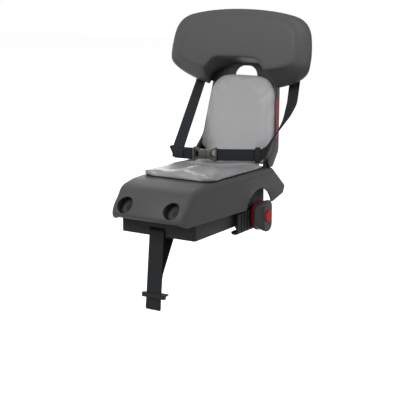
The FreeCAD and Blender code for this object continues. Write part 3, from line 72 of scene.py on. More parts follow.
class Slot(Enum):
    """Names of the record's material slots; a piece made here carries one, but nothing here applies it."""

    SHELL = "shell_grey"
    CLAMP = "clamp_black"
    WEBBING = "webbing"
    BUCKLE = "buckle"
    FOAM = "foam"


class Hold(Enum):
    """How a length of webbing is held."""

    STRETCHED = "stretched"
    HUNG = "hung"


def clamp(value: float, high: float = 1.0) -> float:
    """Return a value held between 0 and a limit."""
    return min(max(value, 0.0), high)


# Colours and node trees


def srgb(code: str) -> tuple[float, float, float, float]:
    """Turn an sRGB hex colour to linear.

    Args:
        code: Six hex digits.

    Returns:
        Linear red, green, blue and an alpha of 1.
    """
    values = [int(code[i:i + 2], 16) / 255 for i in (0, 2, 4)]
    red, green, blue = [v / 12.92 if v <= 0.04045 else ((v + 0.055) / 1.055) ** 2.4 for v in values]
    return red, green, blue, 1.0


def add(tree: bpy.types.NodeTree, kind: str, settings: dict | None = None, links: dict | None = None) -> bpy.types.Node:
    """Add one node with its settings and links.

    Args:
        tree: Node tree that gets the node.
        kind: Blender's name of the node type.
        settings: Properties or input values, by name or input number.
        links: Output sockets to join to the node's inputs, by input name or number.

    Returns:
        The new node.
    """
    node = tree.nodes.new(kind)
    for name, value in (settings or {}).items():
        if isinstance(name, str) and hasattr(node, name):
            setattr(node, name, value)
        else:
            node.inputs[name].default_value = value
    for name, socket in (links or {}).items():
        tree.links.new(socket, node.inputs[name])
    return node


def new_material(name: str) -> tuple[bpy.types.Material, bpy.types.NodeTree, bpy.types.Node]:
    """Start a node material with only its output.

    Args:
        name: Name of the material.

    Returns:
        The material, its node tree and its output node.
    """
    material = bpy.data.materials.new(name)
    material.use_nodes = True
    material.node_tree.nodes.clear()
    return material, material.node_tree, add(material.node_tree, "ShaderNodeOutputMaterial")


# Finishes


@dataclass(frozen=True)
class MouldedPlastic:
    """Injection-moulded plastic with a spark-eroded grain."""

    name: str
    colour: str
    shade: str
    roughness: float
    grain_mm: float = 0.9
    grain_depth: float = 0.25
    specular: float = 0.22
    # Painted shade: how far the ambient occlusion reaches, and the near-black it mixes in where surfaces close in
    painted_shade_mm: float = 24.0
    painted_shade: str = "0e0e0e"
    drift_mm: float = 70.0

    def make(self) -> bpy.types.Material:
        """Build the material: grain as bump, a slow drift of colour and of gloss, and painted shade where ambient
        occlusion darkens the colour in recesses.

        Returns:
            The finished material.
        """
        material, tree, out = new_material(self.name)
        place = add(tree, "ShaderNodeTexCoord").outputs["Object"]
        grain = add(tree, "ShaderNodeTexNoise", {"Scale": 1 / (self.grain_mm * MM), "Detail": 3.0, "Roughness": 0.6},
                    {"Vector": place})
        drift = add(tree, "ShaderNodeTexNoise", {"Scale": 1 / (self.drift_mm * MM), "Detail": 2.0}, {"Vector": place})
        tint = add(tree, "ShaderNodeMix", {"data_type": "RGBA"}, {"Factor": drift.outputs["Fac"]})
        tint.inputs["A"].default_value = srgb(self.shade)
        tint.inputs["B"].default_value = srgb(self.colour)
        gloss = add(tree, "ShaderNodeMapRange", {"To Min": self.roughness - 0.05, "To Max": self.roughness + 0.06},
                    {"Value": drift.outputs["Fac"]})
        bump = add(tree, "ShaderNodeBump", {"Strength": self.grain_depth, "Distance": 0.15 * MM},
                   {"Height": grain.outputs["Fac"]})
        # Painted shade: ambient occlusion mixes the colour towards near-black in recesses, creases and gaps between
        # parts
        hollow = add(tree, "ShaderNodeAmbientOcclusion", {"samples": 8, "Distance": self.painted_shade_mm * MM})
        open_to = add(tree, "ShaderNodeMapRange", {"From Min": 0.2, "From Max": 0.92}, {"Value": hollow.outputs["AO"]})
        painted_shade = add(tree, "ShaderNodeMix", {"data_type": "RGBA"},
                     {"Factor": open_to.outputs["Result"], "B": tint.outputs["Result"]})
        painted_shade.inputs["A"].default_value = srgb(self.painted_shade)
        shader = add(tree, "ShaderNodeBsdfPrincipled", {"Specular IOR Level": self.specular}, {
            "Base Color": painted_shade.outputs["Result"], "Roughness": gloss.outputs["Result"],
            "Normal": bump.outputs["Normal"],
        })
        tree.links.new(shader.outputs["BSDF"], out.inputs["Surface"])
        return material


@dataclass(frozen=True)
class SkinFoam:
    """Integral-skin foam: a soft moulded skin with a faint leather grain."""

    name: str
    colour: str
    shade: str
    roughness: float
    grain_mm: float = 1.6
    drift_mm: float = 45.0

    def make(self) -> bpy.types.Material:
        """Build the material: cell grain and pores as bump over a pale, slightly glossy skin.

        Returns:
            The finished material.
        """
        material, tree, out = new_material(self.name)
        place = add(tree, "ShaderNodeTexCoord").outputs["Object"]
        cells = add(tree, "ShaderNodeTexVoronoi", {"feature": "SMOOTH_F1", "Scale": 1 / (self.grain_mm * MM)},
                    {"Vector": place})
        drift = add(tree, "ShaderNodeTexNoise", {"Scale": 1 / (self.drift_mm * MM), "Detail": 3.0}, {"Vector": place})
        tint = add(tree, "ShaderNodeMix", {"data_type": "RGBA"}, {"Factor": drift.outputs["Fac"]})
        tint.inputs["A"].default_value = srgb(self.shade)
        tint.inputs["B"].default_value = srgb(self.colour)
        bump = add(tree, "ShaderNodeBump", {"Strength": 0.18, "Distance": 0.2 * MM},
                   {"Height": cells.outputs["Distance"]})
        gloss = add(tree, "ShaderNodeMapRange", {"To Min": self.roughness - 0.07, "To Max": self.roughness + 0.07},
                    {"Value": drift.outputs["Fac"]})
        shader = add(tree, "ShaderNodeBsdfPrincipled", {"IOR": 1.46, "Sheen Weight": 0.08}, {
            "Base Color": tint.outputs["Result"], "Roughness": gloss.outputs["Result"],
            "Normal": bump.outputs["Normal"],
        })
        tree.links.new(shader.outputs["BSDF"], out.inputs["Surface"])
        return material


@dataclass(frozen=True)
class Webbing:
    """Woven polyester webbing, ribbed across its run."""

    name: str
    colour: str
    shade: str
    rib_mm: float = 4.0
    thread_mm: float = 2.5

    def make(self) -> bpy.types.Material:
        """Build the material from the strap's own map, whose unit is a metre across and along.

        Returns:
            The finished material.
        """
        material, tree, out = new_material(self.name)
        place = add(tree, "ShaderNodeUVMap").outputs["UV"]
        parts = add(tree, "ShaderNodeSeparateXYZ", None, {"Vector": place})
        waves = []
        for axis, pitch in (("Y", self.rib_mm), ("X", self.thread_mm)):
            turn = add(tree, "ShaderNodeMath", {"operation": "MULTIPLY", 1: 2 * math.pi / (pitch * MM)},
                       {0: parts.outputs[axis]})
            waves.append(add(tree, "ShaderNodeMath", {"operation": "SINE"}, {0: turn.outputs[0]}))
        weave = add(tree, "ShaderNodeMath", {"operation": "MULTIPLY"}, {0: waves[0].outputs[0], 1: waves[1].outputs[0]})
        ribs = add(tree, "ShaderNodeMath", {"operation": "MULTIPLY_ADD", 1: 0.7}, {0: waves[0].outputs[0],
                                                                               2: weave.outputs[0]})
        level = add(tree, "ShaderNodeMapRange", {"From Min": -1.7, "From Max": 1.7}, {"Value": ribs.outputs[0]})
        tint = add(tree, "ShaderNodeMix", {"data_type": "RGBA"}, {"Factor": level.outputs["Result"]})
        tint.inputs["A"].default_value = srgb(self.shade)
        tint.inputs["B"].default_value = srgb(self.colour)
        bump = add(tree, "ShaderNodeBump", {"Strength": 0.6, "Distance": 0.35 * MM},
                   {"Height": level.outputs["Result"]})
        shader = add(tree, "ShaderNodeBsdfPrincipled", {"Roughness": 0.8, "Specular IOR Level": 0.15}, {
            "Base Color": tint.outputs["Result"], "Normal": bump.outputs["Normal"],
        })
        tree.links.new(shader.outputs["BSDF"], out.inputs["Surface"])
        return material


@dataclass(frozen=True)
class PlatedMetal:
    """Turned or plated metal with fine tool marks."""

    name: str
    colour: str
    roughness: float
    mark_mm: float = 0.8

    def make(self) -> bpy.types.Material:
        """Build the material: a metal whose gloss varies along fine marks.

        Returns:
            The finished material.
        """
        material, tree, out = new_material(self.name)
        place = add(tree, "ShaderNodeTexCoord").outputs["Object"]
        marks = add(tree, "ShaderNodeTexNoise", {"Scale": 1 / (self.mark_mm * MM), "Detail": 2.0}, {"Vector": place})
        gloss = add(tree, "ShaderNodeMapRange", {"To Min": self.roughness - 0.08, "To Max": self.roughness + 0.1},
                    {"Value": marks.outputs["Fac"]})
        shader = add(tree, "ShaderNodeBsdfPrincipled", {"Base Color": srgb(self.colour), "Metallic": 1.0},
                     {"Roughness": gloss.outputs["Result"]})
        tree.links.new(shader.outputs["BSDF"], out.inputs["Surface"])
        return material


class Finishes:
    """All finishes of the seat, made once."""

    def __init__(self) -> None:
        # Polypropylene, moulded with a fine grain: dull, dark grey, soft highlights
        self.shell = MouldedPlastic("Polypropylene_grained", "545455", "4e4e4f", 0.5).make()
        # Polypropylene of the seat: the same grain, painted a little darker as shade, with painted shade nearly black
        # down in the sockets and arches
        self.seat = MouldedPlastic("Polypropylene_seat_painted_shade", "4b4b4c", "464647", 0.5, painted_shade_mm=50).make()
        # Polypropylene of the knob: the same grain, darker and a little greenish
        self.knob = MouldedPlastic("Polypropylene_knob", "3b3c3a", "353634", 0.46).make()
        # Glass-filled nylon: nearly black, drier and a little rougher, its painted shade reaching further into recesses
        self.clamp = MouldedPlastic("Nylon_glass_filled", "212122", "1c1c1d", 0.54, specular=0.18, painted_shade_mm=45).make()
        # Acetal: dense and smooth, dark olive grey
        self.buckle = MouldedPlastic("Acetal_moulded", "504e46", "47453e", 0.4, 0.6, 0.12, 0.4).make()
        # ABS, polished mould: clear red with a soft gloss on the cap, deeper red on the ring
        self.cap = MouldedPlastic("ABS_red", "c4181c", "bd161a", 0.36, 0.7, 0.05, 0.1).make()
        self.ring = MouldedPlastic("ABS_dark_red", "9c0d17", "900a13", 0.4, 0.7, 0.08, 0.1).make()
        # Reflective film: smooth, deep red under a clear layer
        self.film = MouldedPlastic("Reflective_film", "b8333b", "ae2d35", 0.26, 0.8, 0.1).make()
        # Rubber: dull black
        self.rubber = MouldedPlastic("Rubber_moulded", "1f1f20", "1b1b1c", 0.8, 0.7, 0.3).make()
        # Foam with a skin from a polished mould: light grey, waxy shine where the light grazes it
        self.seat_foam = SkinFoam("Foam_integral_skin_polished", "959596", "8d8d8f", 0.3).make()
        # Foam with a skin from a grained mould: paler and dull
        self.back_foam = SkinFoam("Foam_integral_skin_grained", "b0b0b1", "a8a8aa", 0.52).make()
        # Polyester webbing, woven in ribs: near black, fine light and dark bars across; real ribs are about 1 mm
        # apart and the threads 0.6 mm, drawn four times as coarse so that they show
        self.webbing = Webbing("Polyester_webbing", "34373a", "17191b").make()
        # Steel, zinc plated: bright and a little milky
        self.steel = PlatedMetal("Steel_zinc_plated", "c2c4c6", 0.34).make()
        # Steel, black oxide: dark bolt heads with a dull shine
        self.dark_steel = PlatedMetal("Steel_black_oxide", "29292b", 0.5).make()
        # Brass, turned: warm and bright
        self.brass = PlatedMetal("Brass_turned", "c9a35a", 0.3).make()

    def dress_frame(self) -> None:
        """Give every CAD node its finish."""
        table = {
            self.shell: ["backrest_frame", "head_panel"],
            self.seat: ["seat_shell"],
            self.knob: ["clamp_knob"],
            self.clamp: ["base_plate", "clamp_housing", "right_jaw", "left_jaw", "strap_slider"],
            self.buckle: ["buckle_socket", "buckle_tongue", "right_belt_slide"],
            self.cap: ["knob_cap"],
            self.ring: ["knob_ring"],
            self.film: ["side_stripes"],
            self.rubber: ["right_jaw_pad", "left_jaw_pad"],
            self.seat_foam: ["seat_cushion"],
            self.back_foam: ["backrest_cushion"],
            self.webbing: ["left_shoulder_strap", "right_shoulder_strap", "left_waist_belt", "right_waist_belt",
                           "safety_strap"],
            self.steel: ["plate_screws", "shell_screws", "panel_screws", "strap_bar", "spindle",
                         "retaining_rings", "knob_screw", "right_hinge_pin", "left_hinge_pin"],
            self.dark_steel: ["socket_screws"],
            self.brass: ["spindle_bush", "right_jaw_nut", "left_jaw_nut"],
        }
        for material, names in table.items():
            for name in names:
                put_on(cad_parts[name], material)


# Modelling helpers


def put_on(piece: bpy.types.Object, material: bpy.types.Material) -> None:
    """Give a piece one finish in place of what it had."""
    piece.data.materials.clear()
    piece.data.materials.append(material)


def fresh() -> None:
    """Leave edit mode and deselect everything."""
    if bpy.context.mode != "OBJECT":
        bpy.ops.object.mode_set(mode="OBJECT")
    bpy.ops.object.select_all(action="DESELECT")


def only(piece: bpy.types.Object) -> None:
    """Select one piece and make it active."""
    fresh()
    piece.select_set(True)
    bpy.context.view_layer.objects.active = piece


def apply_modifier(piece: bpy.types.Object, kind: str, **settings: object) -> None:
    """Add a modifier to a piece and apply it.

    Args:
        piece: Mesh object.
        kind: Modifier type.
        settings: Properties of the modifier.
    """
    only(piece)
    modifier = piece.modifiers.new(kind.title(), kind)
    for name, value in settings.items():
        setattr(modifier, name, value)
    bpy.ops.object.modifier_apply(modifier=modifier.name)


def new_grid(name: str, across: int, along: int) -> bpy.types.Object:
    """Add a flat grid over the unit square about the origin.

    Args:
        name: Name of the piece.
        across: Faces along X.
        along: Faces along Y.

    Returns:
        The new object, with a map over its square.
    """
    fresh()
    bpy.ops.mesh.primitive_grid_add(x_subdivisions=across, y_subdivisions=along, size=1.0)
    piece = bpy.context.object
    piece.name = name
    piece.data.name = name
    return piece


def shape(piece: bpy.types.Object, move: Callable[[Vector], Vector]) -> None:
    """Move every point of a mesh by a rule.

    Args:
        piece: Mesh object.
        move: Gives the new place of a point.
    """
    for vertex in piece.data.vertices:
        vertex.co = move(vertex.co.copy())
    piece.data.update()


def drawn(points: list[Vector], steps: int, closed: bool = False) -> list[Vector]:
    """Draw a smooth curve along control points.

    Args:
        points: Control points.
        steps: Samples to each of them.
        closed: Whether the curve runs back to its start.

    Returns:
        Points along the curve.
    """
    data = bpy.data.curves.new("drawn", "CURVE")
    data.dimensions = "3D"
    data.resolution_u = steps
    spline = data.splines.new("NURBS")
    spline.points.add(len(points) - 1)
    for point, place in zip(spline.points, points):
        point.co = (*place, 1.0)
    spline.order_u = 3
    spline.use_endpoint_u = not closed
    spline.use_cyclic_u = closed
    holder = bpy.data.objects.new("drawn", data)
    bpy.context.collection.objects.link(holder)
    bpy.context.view_layer.update()
    mesh = bpy.data.meshes.new_from_object(holder)
    places = [vertex.co.copy() for vertex in mesh.vertices]
    bpy.data.objects.remove(holder)
    bpy.data.curves.remove(data)
    bpy.data.meshes.remove(mesh)
    return places


def skin(name: str, rings: list[list[Vector]]) -> bpy.types.Object:
    """Stretch a closed skin over rings of the same number of points; the first and last ring are closed flat.

    Args:
        name: Name of the piece.
        rings: Closed rings, in order.

    Returns:
        The closed mesh, its faces outwards.
    """
    count = len(rings[0])
    ends = [sum(ring, Vector()) / count for ring in (rings[0], rings[-1])]
    rows = [[ends[0]] * count, *rings, [ends[1]] * count]
    piece = new_grid(name, len(rows) - 1, count)

    def lay(co: Vector) -> Vector:
        return rows[round((co.x + 0.5) * (len(rows) - 1))][round((co.y + 0.5) * count) % count]

    shape(piece, lay)
    only(piece)
    bpy.ops.object.mode_set(mode="EDIT")
    bpy.ops.mesh.select_all(action="SELECT")
    bpy.ops.mesh.remove_doubles(threshold=0.01 * MM)
    bpy.ops.mesh.normals_make_consistent(inside=False)
    bpy.ops.object.mode_set(mode="OBJECT")
    return piece


def on_back(x: float, depth: float, high: float) -> Vector:
    """Return where a point of the upright back lies once it is reclined.

    Args:
        x: Millimetres to the right.
        depth: Millimetres behind the hinge line, square to the back.
        high: Millimetres up the back from the hinge line.

    Returns:
        The point in metres in the row frame.
    """
    lean = math.radians(LEAN_DEG)
    y = HINGE_Y_MM + depth * math.cos(lean) + high * math.sin(lean)
    z = HINGE_Z_MM + high * math.cos(lean) - depth * math.sin(lean)
    return Vector((x, y, z)) * MM


def at(x: float, y: float, z: float) -> Vector:
    """Return a point given in millimetres, in metres."""
    return Vector((x, y, z)) * MM


# Moulded pieces with eased edges


def node_copy(name: str, node: str) -> bpy.types.Object:
    """Copy a CAD node's mesh as a new piece with its seams merged and its flat faces whole.

    Args:
        name: Name of the new piece.
        node: CAD node to copy.

    Returns:
        The copy, in place.
    """
    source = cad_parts[node]
    piece = bpy.data.objects.new(name, source.data.copy())
    piece.data.name = name
    bpy.context.collection.objects.link(piece)
    piece.data.transform(source.matrix_world)
    only(piece)
    bpy.ops.object.mode_set(mode="EDIT")
    bpy.ops.mesh.select_all(action="SELECT")
    bpy.ops.mesh.remove_doubles(threshold=0.02 * MM)
    bpy.ops.mesh.dissolve_limited(angle_limit=math.radians(0.5))
    bpy.ops.object.mode_set(mode="OBJECT")
    bpy.ops.mesh.customdata_custom_splitnormals_clear()
    return piece


def lies_on_cushion(piece: bpy.types.Object) -> None:
    """Give a piece of the harness a mesh of its own.

    Args:
        piece: Strap, belt or buckle part.
    """
    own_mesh(piece)


@dataclass
class Moulded:
    """A rigid piece of the frame whose sharp edges are eased, as a mould leaves them."""

    name: str
    node: str
    body: Body
    slot: Slot
    ease_mm: float
    from_deg: float = 40.0
    smooth_deg: float = 35.0
    in_harness: bool = False

    def form(self, piece: bpy.types.Object) -> None:
        """Leave the copy's form as it is."""

    def build(self, finish: bpy.types.Material) -> bpy.types.Object:
        """Make the eased copy.

        Args:
            finish: Its material.

        Returns:
            The piece.
        """
        piece = node_copy(self.name, self.node)
        self.form(piece)
        apply_modifier(piece, "BEVEL", width=self.ease_mm * MM, segments=2, limit_method="ANGLE",
                       angle_limit=math.radians(self.from_deg))
        only(piece)
        bpy.ops.object.shade_smooth_by_angle(angle=math.radians(self.smooth_deg))
        put_on(piece, finish)
        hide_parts(self.node)
        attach(piece, self.body.value)
        if self.in_harness:
            lies_on_cushion(piece)
        log.info("%s: %d faces", self.name, len(piece.data.polygons))
        return piece


@dataclass
class Shell(Moulded):
    """Seat shell whose nose has a full shoulder and tucks under at its lower lip."""

    tuck_mm: float = 11.0
    tuck_from_mm: float = 50.0
    tuck_ahead_mm: float = 120.0
    shoulder_mm: float = 6.0
    shoulder_at_mm: float = 88.0
    shoulder_ahead_mm: float = 95.0
    rows_mm: tuple[float, ...] = (99.0, 95.0, 91.0, 87.0, 83.0, 79.0, 75.0, 46.0, 42.0, 38.0, 34.0, 31.0)

    def form(self, piece: bpy.types.Object) -> None:
        """Cut rows into the nose, draw them back towards the lip and out at the shoulder."""
        only(piece)
        bpy.ops.object.mode_set(mode="EDIT")
        for row in self.rows_mm:
            bpy.ops.mesh.select_all(action="SELECT")
            bpy.ops.mesh.bisect(plane_co=(0, 0, row * MM), plane_no=(0, 0, 1))
        bpy.ops.object.mode_set(mode="OBJECT")

        def tuck(co: Vector) -> Vector:
            ahead = clamp((-co.y / MM - self.tuck_ahead_mm) / 40)
            below = clamp((self.tuck_from_mm - co.z / MM) / 24, 1.1)
            level = math.exp(-((co.z / MM - self.shoulder_at_mm) / 11) ** 2)
            over = level * clamp((-co.y / MM - self.shoulder_ahead_mm) / 30)
            fuller = Vector((0, -0.8, 0.6)) * self.shoulder_mm * MM * over
            return co + fuller + Vector((0, self.tuck_mm * MM * ahead * below * below, 0))

        shape(piece, tuck)


Wing = tuple[float, float, float, float]


@dataclass
class HeadPanel:
    """Wide moulded wing panel: a soft face, a bevel out to its widest line and the arched notch below."""

    face_mm: Wing = (148.0, 310.0, 221.0, 188.0)
    ridge_mm: Wing = (175.5, 321.5, 223.0, 151.0)
    back_mm: Wing = (150.0, 318.0, 223.0, 157.0)
    foot_half_mm: float = 65.0
    front_mm: float = -38.0
    ridge_depth_mm: float = -20.0
    rear_mm: float = 22.0
    voxel_mm: float = 2.4
    sink_from_mm: float = 212.0
    sink_over_mm: float = 46.0
    crown_from_mm: float = 215.0
    crown_over_mm: float = 98.0

    def ring(self, wing: Wing, depth: float, sink: float = 0.0, crown: float = 0.0) -> list[Vector]:
        """Draw the panel's outline at one depth.

        Args:
            wing: Half width, top, widest level and lowest level.
            depth: Distance behind the hinge line.
            sink: How much further back its lower edge lies.
            crown: How much further back its top lies.

        Returns:
            Points round the outline, in millimetres as x, depth and height.
        """
        half, top, mid, low = wing
        right = [
            (min(self.foot_half_mm, half * 0.44), low), (half * 0.96, mid - (mid - low) * 0.52),
            (half * 1.005, mid + 5), (half * 0.93, top - (top - mid) * 0.2), (half * 0.5, top - half * 0.012),
        ]
        left = [(-x, high) for x, high in reversed(right)]
        outline = [*right, (0.0, top + half * 0.018), *left]
        points = drawn([Vector((x, depth, high)) for x, high in outline], 6, closed=True)
        for point in points:
            share = clamp((self.sink_from_mm - point.z) / self.sink_over_mm)
            rise = max((point.z - self.crown_from_mm) / self.crown_over_mm, 0.0)
            point.y += sink * share * share * (3 - 2 * share) + crown * rise ** 2
        return points

    def notch(self, grow: float, depth: float, top_half: float, top: float, foot_half: float) -> list[Vector]:
        """Draw the notch's outline at one depth.

        Args:
            grow: Height of its sloping sides.
            depth: Distance behind the hinge line.
            top_half: Half width of its top.
            top: Level of its top.
            foot_half: Half width of its foot.

        Returns:
            Points round the outline.
        """
        right = [(foot_half + 4, 100.0), (foot_half + 2, top - grow - 10), (foot_half - 6, top - grow + 6),
                 (top_half + 5, top - 4), (top_half - 10, top + 2)]
        left = [(-x, high) for x, high in reversed(right)]
        return drawn([Vector((x, depth, high)) for x, high in [*right, *left]], 6, closed=True)

    def build(self, finish: bpy.types.Material) -> bpy.types.Object:
        """Make the panel: skin over its outlines, notch cut, edges softened.

        Args:
            finish: Its material.

        Returns:
            The panel.
        """
        def mix(first: Wing, second: Wing, share: float) -> Wing:
            return tuple(a + (b - a) * share for a, b in zip(first, second))

        def drawn_in(wing: Wing, share: float) -> Wing:
            return mix(wing, (0.0, wing[2], wing[2], wing[2]), share)

        face, ridge, back = self.face_mm, self.ridge_mm, self.back_mm
        front, wide = self.front_mm, self.ridge_depth_mm
        piece = skin("head_panel_moulded", [
            *[self.ring(drawn_in(face, share), front, 0, 9) for share in (0.9, 0.7, 0.5, 0.3, 0.15, 0.06)],
            self.ring(drawn_in(face, 0.02), front + 1.2, 2, 9), self.ring(face, front + 3.0, 3, 9),
            self.ring(mix(face, ridge, 0.8), wide - 4.8, 24), self.ring(ridge, wide, 32),
            self.ring(mix(ridge, back, 0.06), wide + 7, 29), self.ring(mix(ridge, back, 0.5), wide + 22, 17),
            self.ring(back, self.rear_mm), self.ring(drawn_in(back, 0.5), self.rear_mm),
        ])
        cutter = skin("notch_cutter", [
            self.notch(30, front - 12, 58, 217, 79), self.notch(28, -8, 44, 213, 81),
            self.notch(26, self.rear_mm + 6, 30, 208, 85),
        ])
        for part in (piece, cutter):
            shape(part, lambda co: co * MM)
        apply_modifier(piece, "BOOLEAN", operation="DIFFERENCE", object=cutter, solver="EXACT")
        bpy.data.objects.remove(cutter)
        apply_modifier(piece, "REMESH", mode="VOXEL", voxel_size=self.voxel_mm * MM)
        apply_modifier(piece, "SMOOTH", factor=0.5, iterations=6)
        shape(piece, lambda co: on_back(co.x / MM, min(co.y / MM, self.rear_mm), co.z / MM))
        only(piece)
        bpy.ops.object.shade_smooth()
        put_on(piece, finish)
        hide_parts("head_panel")
        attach(piece, Body.BACKREST.value)
        log.info("head_panel_moulded: %d faces", len(piece.data.polygons))
        return piece


# Webbing


Station = tuple[Vector, Vector]


@dataclass
class Strap:
    """A length of flat webbing laid through stations, each a point and the direction of its width."""

    name: str
    node: str | None
    body: Body
    stations: list[Station]
    held: Hold
    rests_on: list[str]
    width_mm: float = 25.0
    thick_mm: float = 1.6
    bend_mm: float = 14.0
    in_harness: bool = True
    about_mm: tuple[float, float] = (5.0, 37.0)
    keep: float = 0.08
    columns: int = 6

    def eased(self) -> list[Station]:
        """Return the stations with one more on each side of a bend, so that the runs between stay straight."""
        ends = [self.stations[0]]
        for before, here, after in zip(self.stations, self.stations[1:], self.stations[2:]):
            for other in (before, None, after):
                if other is None:
                    ends.append(here)
                    continue
                gap = (other[0] - here[0]).length
                share = min(self.bend_mm * MM / gap, 0.45)
                ends.append((here[0].lerp(other[0], share), here[1].lerp(other[1], share).normalized()))
        return [*ends, self.stations[-1]]

    def edge(self, side: float) -> list[Vector]:
        """Draw one edge of the strap as a smooth curve along the stations.

        Args:
            side: Which edge, -0.5 or 0.5 of the width.

        Returns:
            Points along the edge.
        """
        return drawn([place + across.normalized() * side * self.width_mm * MM for place, across in self.eased()], 5)

    def build(self, finish: bpy.types.Material) -> bpy.types.Object:
        """Make the strap as a grid between its two edges, thickened.

        Args:
            finish: Webbing material.

        Returns:
            The strap.
        """
        left, right = self.edge(-0.5), self.edge(0.5)
        middle = [a.lerp(b, 0.5) for a, b in zip(left, right)]
        length = [0.0]
        for a, b in zip(middle, middle[1:]):
            length.append(length[-1] + (b - a).length)
        rows = len(middle) - 1
        piece = new_grid(self.name, self.columns, rows)
        for loop in piece.data.uv_layers.active.data:
            loop.uv = ((loop.uv.x - 0.5) * self.width_mm * MM, length[round(loop.uv.y * rows)])

        def lay(co: Vector) -> Vector:
            row = round((co.y + 0.5) * rows)
            return left[row].lerp(right[row], co.x + 0.5)

        shape(piece, lay)
        apply_modifier(piece, "SOLIDIFY", thickness=self.thick_mm * MM, offset=0.0)
        apply_modifier(piece, "BEVEL", width=0.35 * MM, segments=2, limit_method="ANGLE", angle_limit=math.radians(50))
        only(piece)
        bpy.ops.object.shade_smooth_by_angle(angle=math.radians(60))
        put_on(piece, finish)
        if self.node:
            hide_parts(self.node)
        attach(piece, self.body.value)
        if self.in_harness:
            lies_on_cushion(piece)
        log.info("%s: %.0f mm of webbing", self.name, length[-1] / MM)
        return piece


class Harness:
    """Shoulder straps, waist belts, buckle and slide of the back."""

    belt_z: float = 134.0

    def straps(self) -> list[Strap]:
        """Lay out the four lengths of webbing.

        Returns:
            The straps, not yet made.
        """
        z = self.belt_z

        def hang(side: int) -> list[Station]:
            return [(on_back(side * 118, 18, 194), ACROSS), (on_back(side * 118, 27.8, 194), ACROSS),
                    (on_back(side * 118, 27.8, 169), ACROSS)]

        along_belt = Vector((0.986, 0.164, 0.0))
        return [
            Strap("left_shoulder_webbing", "left_shoulder_strap", Body.BACKREST,
                  [*hang(-1), (at(-80, 60, 149), Vector((0.92, 0.38, 0.0))), (at(-77, 49.6, 139), along_belt),
                   (at(-77, 49.6, 124), along_belt)],
                  Hold.STRETCHED, ["backrest_frame", "left_waist_webbing"], bend_mm=9, about_mm=(27.8, 175.0),
                  keep=0.473),
            Strap("left_waist_webbing", "left_waist_belt", Body.BACKREST,
                  [(at(-62, 147.5, 106), ACROSS), (at(-62, 146, 118), ACROSS),
                   (at(-72, 122, 120.5), Vector((0.95, 0.25, 0.15))), (at(-88, 90, 128), Vector((0.45, 0.1, 0.88))),
                   (at(-99, 68, z), Vector((-0.3, 0.0, 0.95))),
                   (at(-97, 56, z), Vector((-0.5, 0.0, 0.87))), (at(-88, 51, z), Vector((-0.25, 0.0, 0.97))),
                   (at(-58.07, 56.01, z), UP), (at(-44.49, 59.40, z), UP)],
                  Hold.STRETCHED, ["backrest_frame", "buckle_socket_moulded"]),
            Strap("right_waist_webbing", "right_waist_belt", Body.BACKREST,
                  [(at(8.49, 72.60, z), UP), (at(22.07, 75.99, z), UP), (at(83.11, 111.54, z), UP)],
                  Hold.STRETCHED, ["buckle_tongue_moulded", "belt_slide_moulded"]),
            Strap("right_shoulder_webbing", "right_shoulder_strap", Body.BACKREST,
                  [*hang(1), (on_back(118, 26, 131), Vector((1.0, -0.05, 0.05))),
                   (on_back(112, 21, 100), Vector((0.85, -0.35, 0.35))),
                   (on_back(104, 14, 77), Vector((0.71, -0.47, 0.52))),
                   (on_back(101, 6, 64), Vector((0.65, -0.45, 0.6))),
                   (on_back(100, -5, 52), Vector((0.45, -0.3, 0.84))), (at(97.2, 127, 141), Vector((0.1, 0.0, 1.0))),
                   (at(90.65, 115.47, z), UP), (at(84.89, 112.46, z), UP)],
                  Hold.STRETCHED, ["backrest_frame", "belt_slide_moulded"], bend_mm=16, about_mm=(27.8, 175.0),
                  keep=0.648),
        ]

    def build(self, finishes: Finishes) -> None:
        """Make the hardware and the straps, each with a mesh of its own.

        Args:
            finishes: The seat's finishes.
        """
        for name, node, finish in (("buckle_socket_moulded", "buckle_socket", finishes.buckle),
                                   ("buckle_tongue_moulded", "buckle_tongue", finishes.buckle),
                                   ("belt_slide_moulded", "right_belt_slide", finishes.clamp)):
            Moulded(name, node, Body.BACKREST, Slot.BUCKLE, 1.1, in_harness=True).build(finish)
        for strap in self.straps():
            strap.build(finishes.webbing)


class SafetyStrap:
    """Webbing loop that hangs from the clamp housing, and the tail that its slider holds."""

    loop: list[tuple[float, float]] = [
        (-154.2, -119.6), (-156.2, -144.6), (-157.6, -147.6), (-158.9, -144.6), (-155.83, -119.0), (-151.4, -77.2),
        (-142.8, 4.0), (-142.8, 11.0), (-137.8, 15.0), (-116.8, 15.8), (-109.6, 17.8), (-107.2, 13.0), (-106.2, -6.0),
        (-149.2, -77.5), (-153.6, -119.2),
    ]
    tail: list[tuple[float, float]] = [(-153.4, -117.0), (-152.4, -122.5), (-146.0, -125.5), (-126.0, -122.0)]

    def build(self, finishes: Finishes) -> None:
        """Make the hanging loop and its tail.

        Args:
            finishes: The seat's finishes.
        """
        Strap("safety_webbing", "safety_strap", Body.SEAT, [(at(0, y, z), ACROSS) for y, z in self.loop], Hold.HUNG,
              ["strap_bar"], width_mm=34.0, bend_mm=22.0, in_harness=False).build(finishes.webbing)
        Strap("safety_tail", None, Body.SLIDER, [(at(0, y, z), ACROSS) for y, z in self.tail], Hold.HUNG,
              ["strap_slider_moulded"], width_mm=34.0, bend_mm=4.0, in_harness=False).build(finishes.webbing)


# Pads


